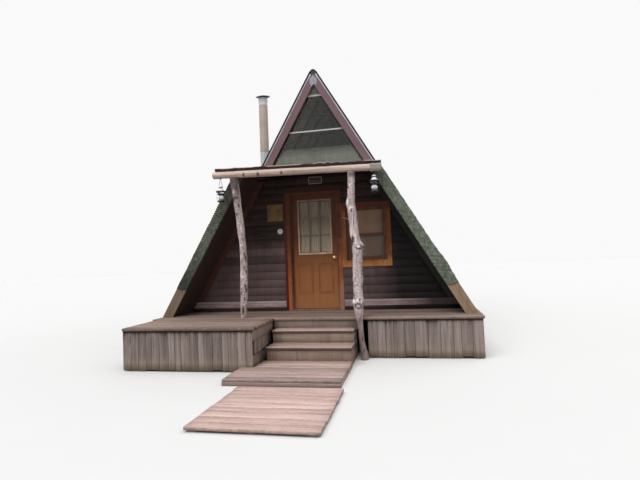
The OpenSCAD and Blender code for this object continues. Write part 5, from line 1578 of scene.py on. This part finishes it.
class CABIN_OT_plates(CabinOperator, bpy.types.Operator):
    """Fixes the bare yellow sheet, whose rim bends out in proportion to its nearness to the edge,
    the small bare plate over the door and the turned dial"""
    bl_idname = "cabin.plates"
    bl_label = "Wall plates and dial"

    def execute(self, context):
        middle, half, high, half_high = -0.734, 0.146, 1.7495, 0.1525
        x = np.linspace(middle - half, middle + half, 40)[None, :]
        z = np.linspace(high - half_high, high + half_high, 40)[:, None]
        edge = np.maximum(np.abs((x - middle) / half), np.abs((z - high) / half_high))
        y = -0.018 - 0.003 * np.clip((edge - 0.9) / 0.1, 0, 1)
        sheet = grid(x, y + 0.002 * ripple(141, 4, (x, 0.3), (z, 0.3)), z)
        put("yellow_sheet", shell(sheet, sheet + (0, 0.0022, 0)), "ochre",
            ["wall_plates"])

        wall, x0, x1, z0, z1 = -0.012, -0.103, 0.143, 2.231, 2.345
        plate = boards((x0, wall, 2.288), (x1, wall, 2.288), UP, FRONT, 0.124, 0.008, 142,
                       edge=0.002)
        rim = [boards(a, b, across, FRONT, 0.010, 0.011, 143, edge=0.002) for a, b, across in (
            ((x0, wall, z0), (x1, wall, z0), UP), ((x0, wall, z1), (x1, wall, z1), UP),
            ((x0 + 0.005, wall, z0), (x0 + 0.005, wall, z1), RIGHT),
            ((x1 - 0.005, wall, z0), (x1 - 0.005, wall, z1), RIGHT))]
        put("bare_plate", plain(plate), "plate")
        put("bare_plate_rim", join(*rim), "block")

        x, z = -0.650, 1.412
        at = (x, wall, z)
        ring = lathe([(0.040, 0.0), (0.051, 0.001), (0.053, 0.006), (0.051, 0.013),
                      (0.047, 0.014), (0.045, 0.009), (0.040, 0.008)], at, axis="y")
        disc = lathe([(0.001, 0.004), (0.046, 0.004), (0.046, 0.0085), (0.001, 0.0085)], at,
                     axis="y")
        put("dial_rim", ring, "flashing", smooth=True)
        put("dial_face", disc, "enamel")
        marks = []
        for turn in np.radians(np.arange(-130, 131, 20)):
            sin, cos = math.sin(turn), math.cos(turn)
            inner, outer = ((x + r * sin, wall - 0.0083, z + r * cos) for r in (0.032, 0.040))
            marks.append(boards(inner, outer, (cos, 0, -sin), FRONT, 0.002, 0.0008, 144,
                                edge=0.0002, sections=1))
        y = wall - 0.009
        marks.append(boards((x - 0.008, y, z - 0.01), (x + 0.018, y, z + 0.024), (0.79, 0, -0.61),
                            FRONT, 0.004, 0.001, 145, edge=0.0003, sections=1))
        marks.append(lathe([(0.001, 0.009), (0.008, 0.009), (0.007, 0.012), (0.001, 0.0125)], at,
                           24, "y"))
        return made(put("dial_marks", join(*map(plain, marks)), "black"))


class CABIN_OT_nails(CabinOperator, bpy.types.Operator):
    """Drives the nail heads of the skirts and the deck"""
    bl_idname = "cabin.nails"
    bl_label = "Nail heads"

    def execute(self, context):
        parts = []
        for x0, x1, y, seed in ((-2.46, -0.56, PLATFORM_SKIRT_Y - 0.0195, 151),
                                (0.99, 2.58, STRIP_SKIRT_Y - 0.0195, 152)):
            x = np.arange(x0, x1, 0.062)
            rng = np.random.default_rng(seed)
            for z in (-0.085, -0.50):
                parts.append(studs(grid(x + rng.normal(0, 0.008, len(x)), y,
                                        z + rng.normal(0, 0.006, len(x))), FRONT))
        for (x0, x1, x_step), y in (((-2.45, 2.6, 0.605), np.arange(-0.985, -0.02, 0.0732)),
                                    ((-2.42, -0.5, 0.46), np.arange(-1.93, -1.05, 0.078))):
            parts += [studs(grid(x, y, 0.0002), UP) for x in np.arange(x0, x1, x_step)]
        return made(put("nail_heads", join(*parts), "nail"))


class CABIN_OT_finishes(CabinOperator, bpy.types.Operator):
    """Gives each solid that is kept from the source its own finish"""
    bl_idname = "cabin.finishes"
    bl_label = "Finishes of the kept solids"

    def execute(self, context):
        for node, name in CAD_FINISHES.items():
            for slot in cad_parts[node].material_slots:
                slot.material = finish(name)
        return made(CAD_FINISHES)


class CABIN_PT_panel(bpy.types.Panel):
    """Lists the cabin's sizes, its stage and the operators that make its pieces"""
    bl_label = "A-frame cabin"
    bl_idname = "CABIN_PT_panel"
    bl_space_type = "VIEW_3D"
    bl_region_type = "UI"
    bl_category = "Cabin"

    def draw(self, context):
        column = self.layout.column()
        for settings in (context.scene.cabin_sizes, context.scene.cabin_look):
            for key in settings.bl_rna.properties.keys():
                if key not in ("rna_type", "name"):
                    column.prop(settings, key)
        for operator in OPERATORS:
            column.operator(operator.bl_idname)


OPERATORS = (CABIN_OT_stage, CABIN_OT_deck, CABIN_OT_skirts, CABIN_OT_steps, CABIN_OT_siding,
             CABIN_OT_roofing, CABIN_OT_wings, CABIN_OT_rakes, CABIN_OT_logs, CABIN_OT_porch,
             CABIN_OT_lanterns, CABIN_OT_windows, CABIN_OT_plates, CABIN_OT_nails,
             CABIN_OT_finishes)
CLASSES = (CabinSizes, CabinLook, *OPERATORS, CABIN_PT_panel)


def register():
    """Registers the classes and adds the two groups of settings to the scene."""
    for cls in CLASSES:
        bpy.utils.register_class(cls)
    bpy.types.Scene.cabin_sizes = bpy.props.PointerProperty(type=CabinSizes)
    bpy.types.Scene.cabin_look = bpy.props.PointerProperty(type=CabinLook)


def unregister():
    """Takes the settings and the classes away again, the last one first."""
    del bpy.types.Scene.cabin_look
    del bpy.types.Scene.cabin_sizes
    for cls in reversed(CLASSES):
        bpy.utils.unregister_class(cls)


def main():
    """Registers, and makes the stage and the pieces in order."""
    register()
    for operator in OPERATORS:
        family, name = operator.bl_idname.split(".")
        getattr(getattr(bpy.ops, family), name)()


if __name__ == "__main__":
    main()
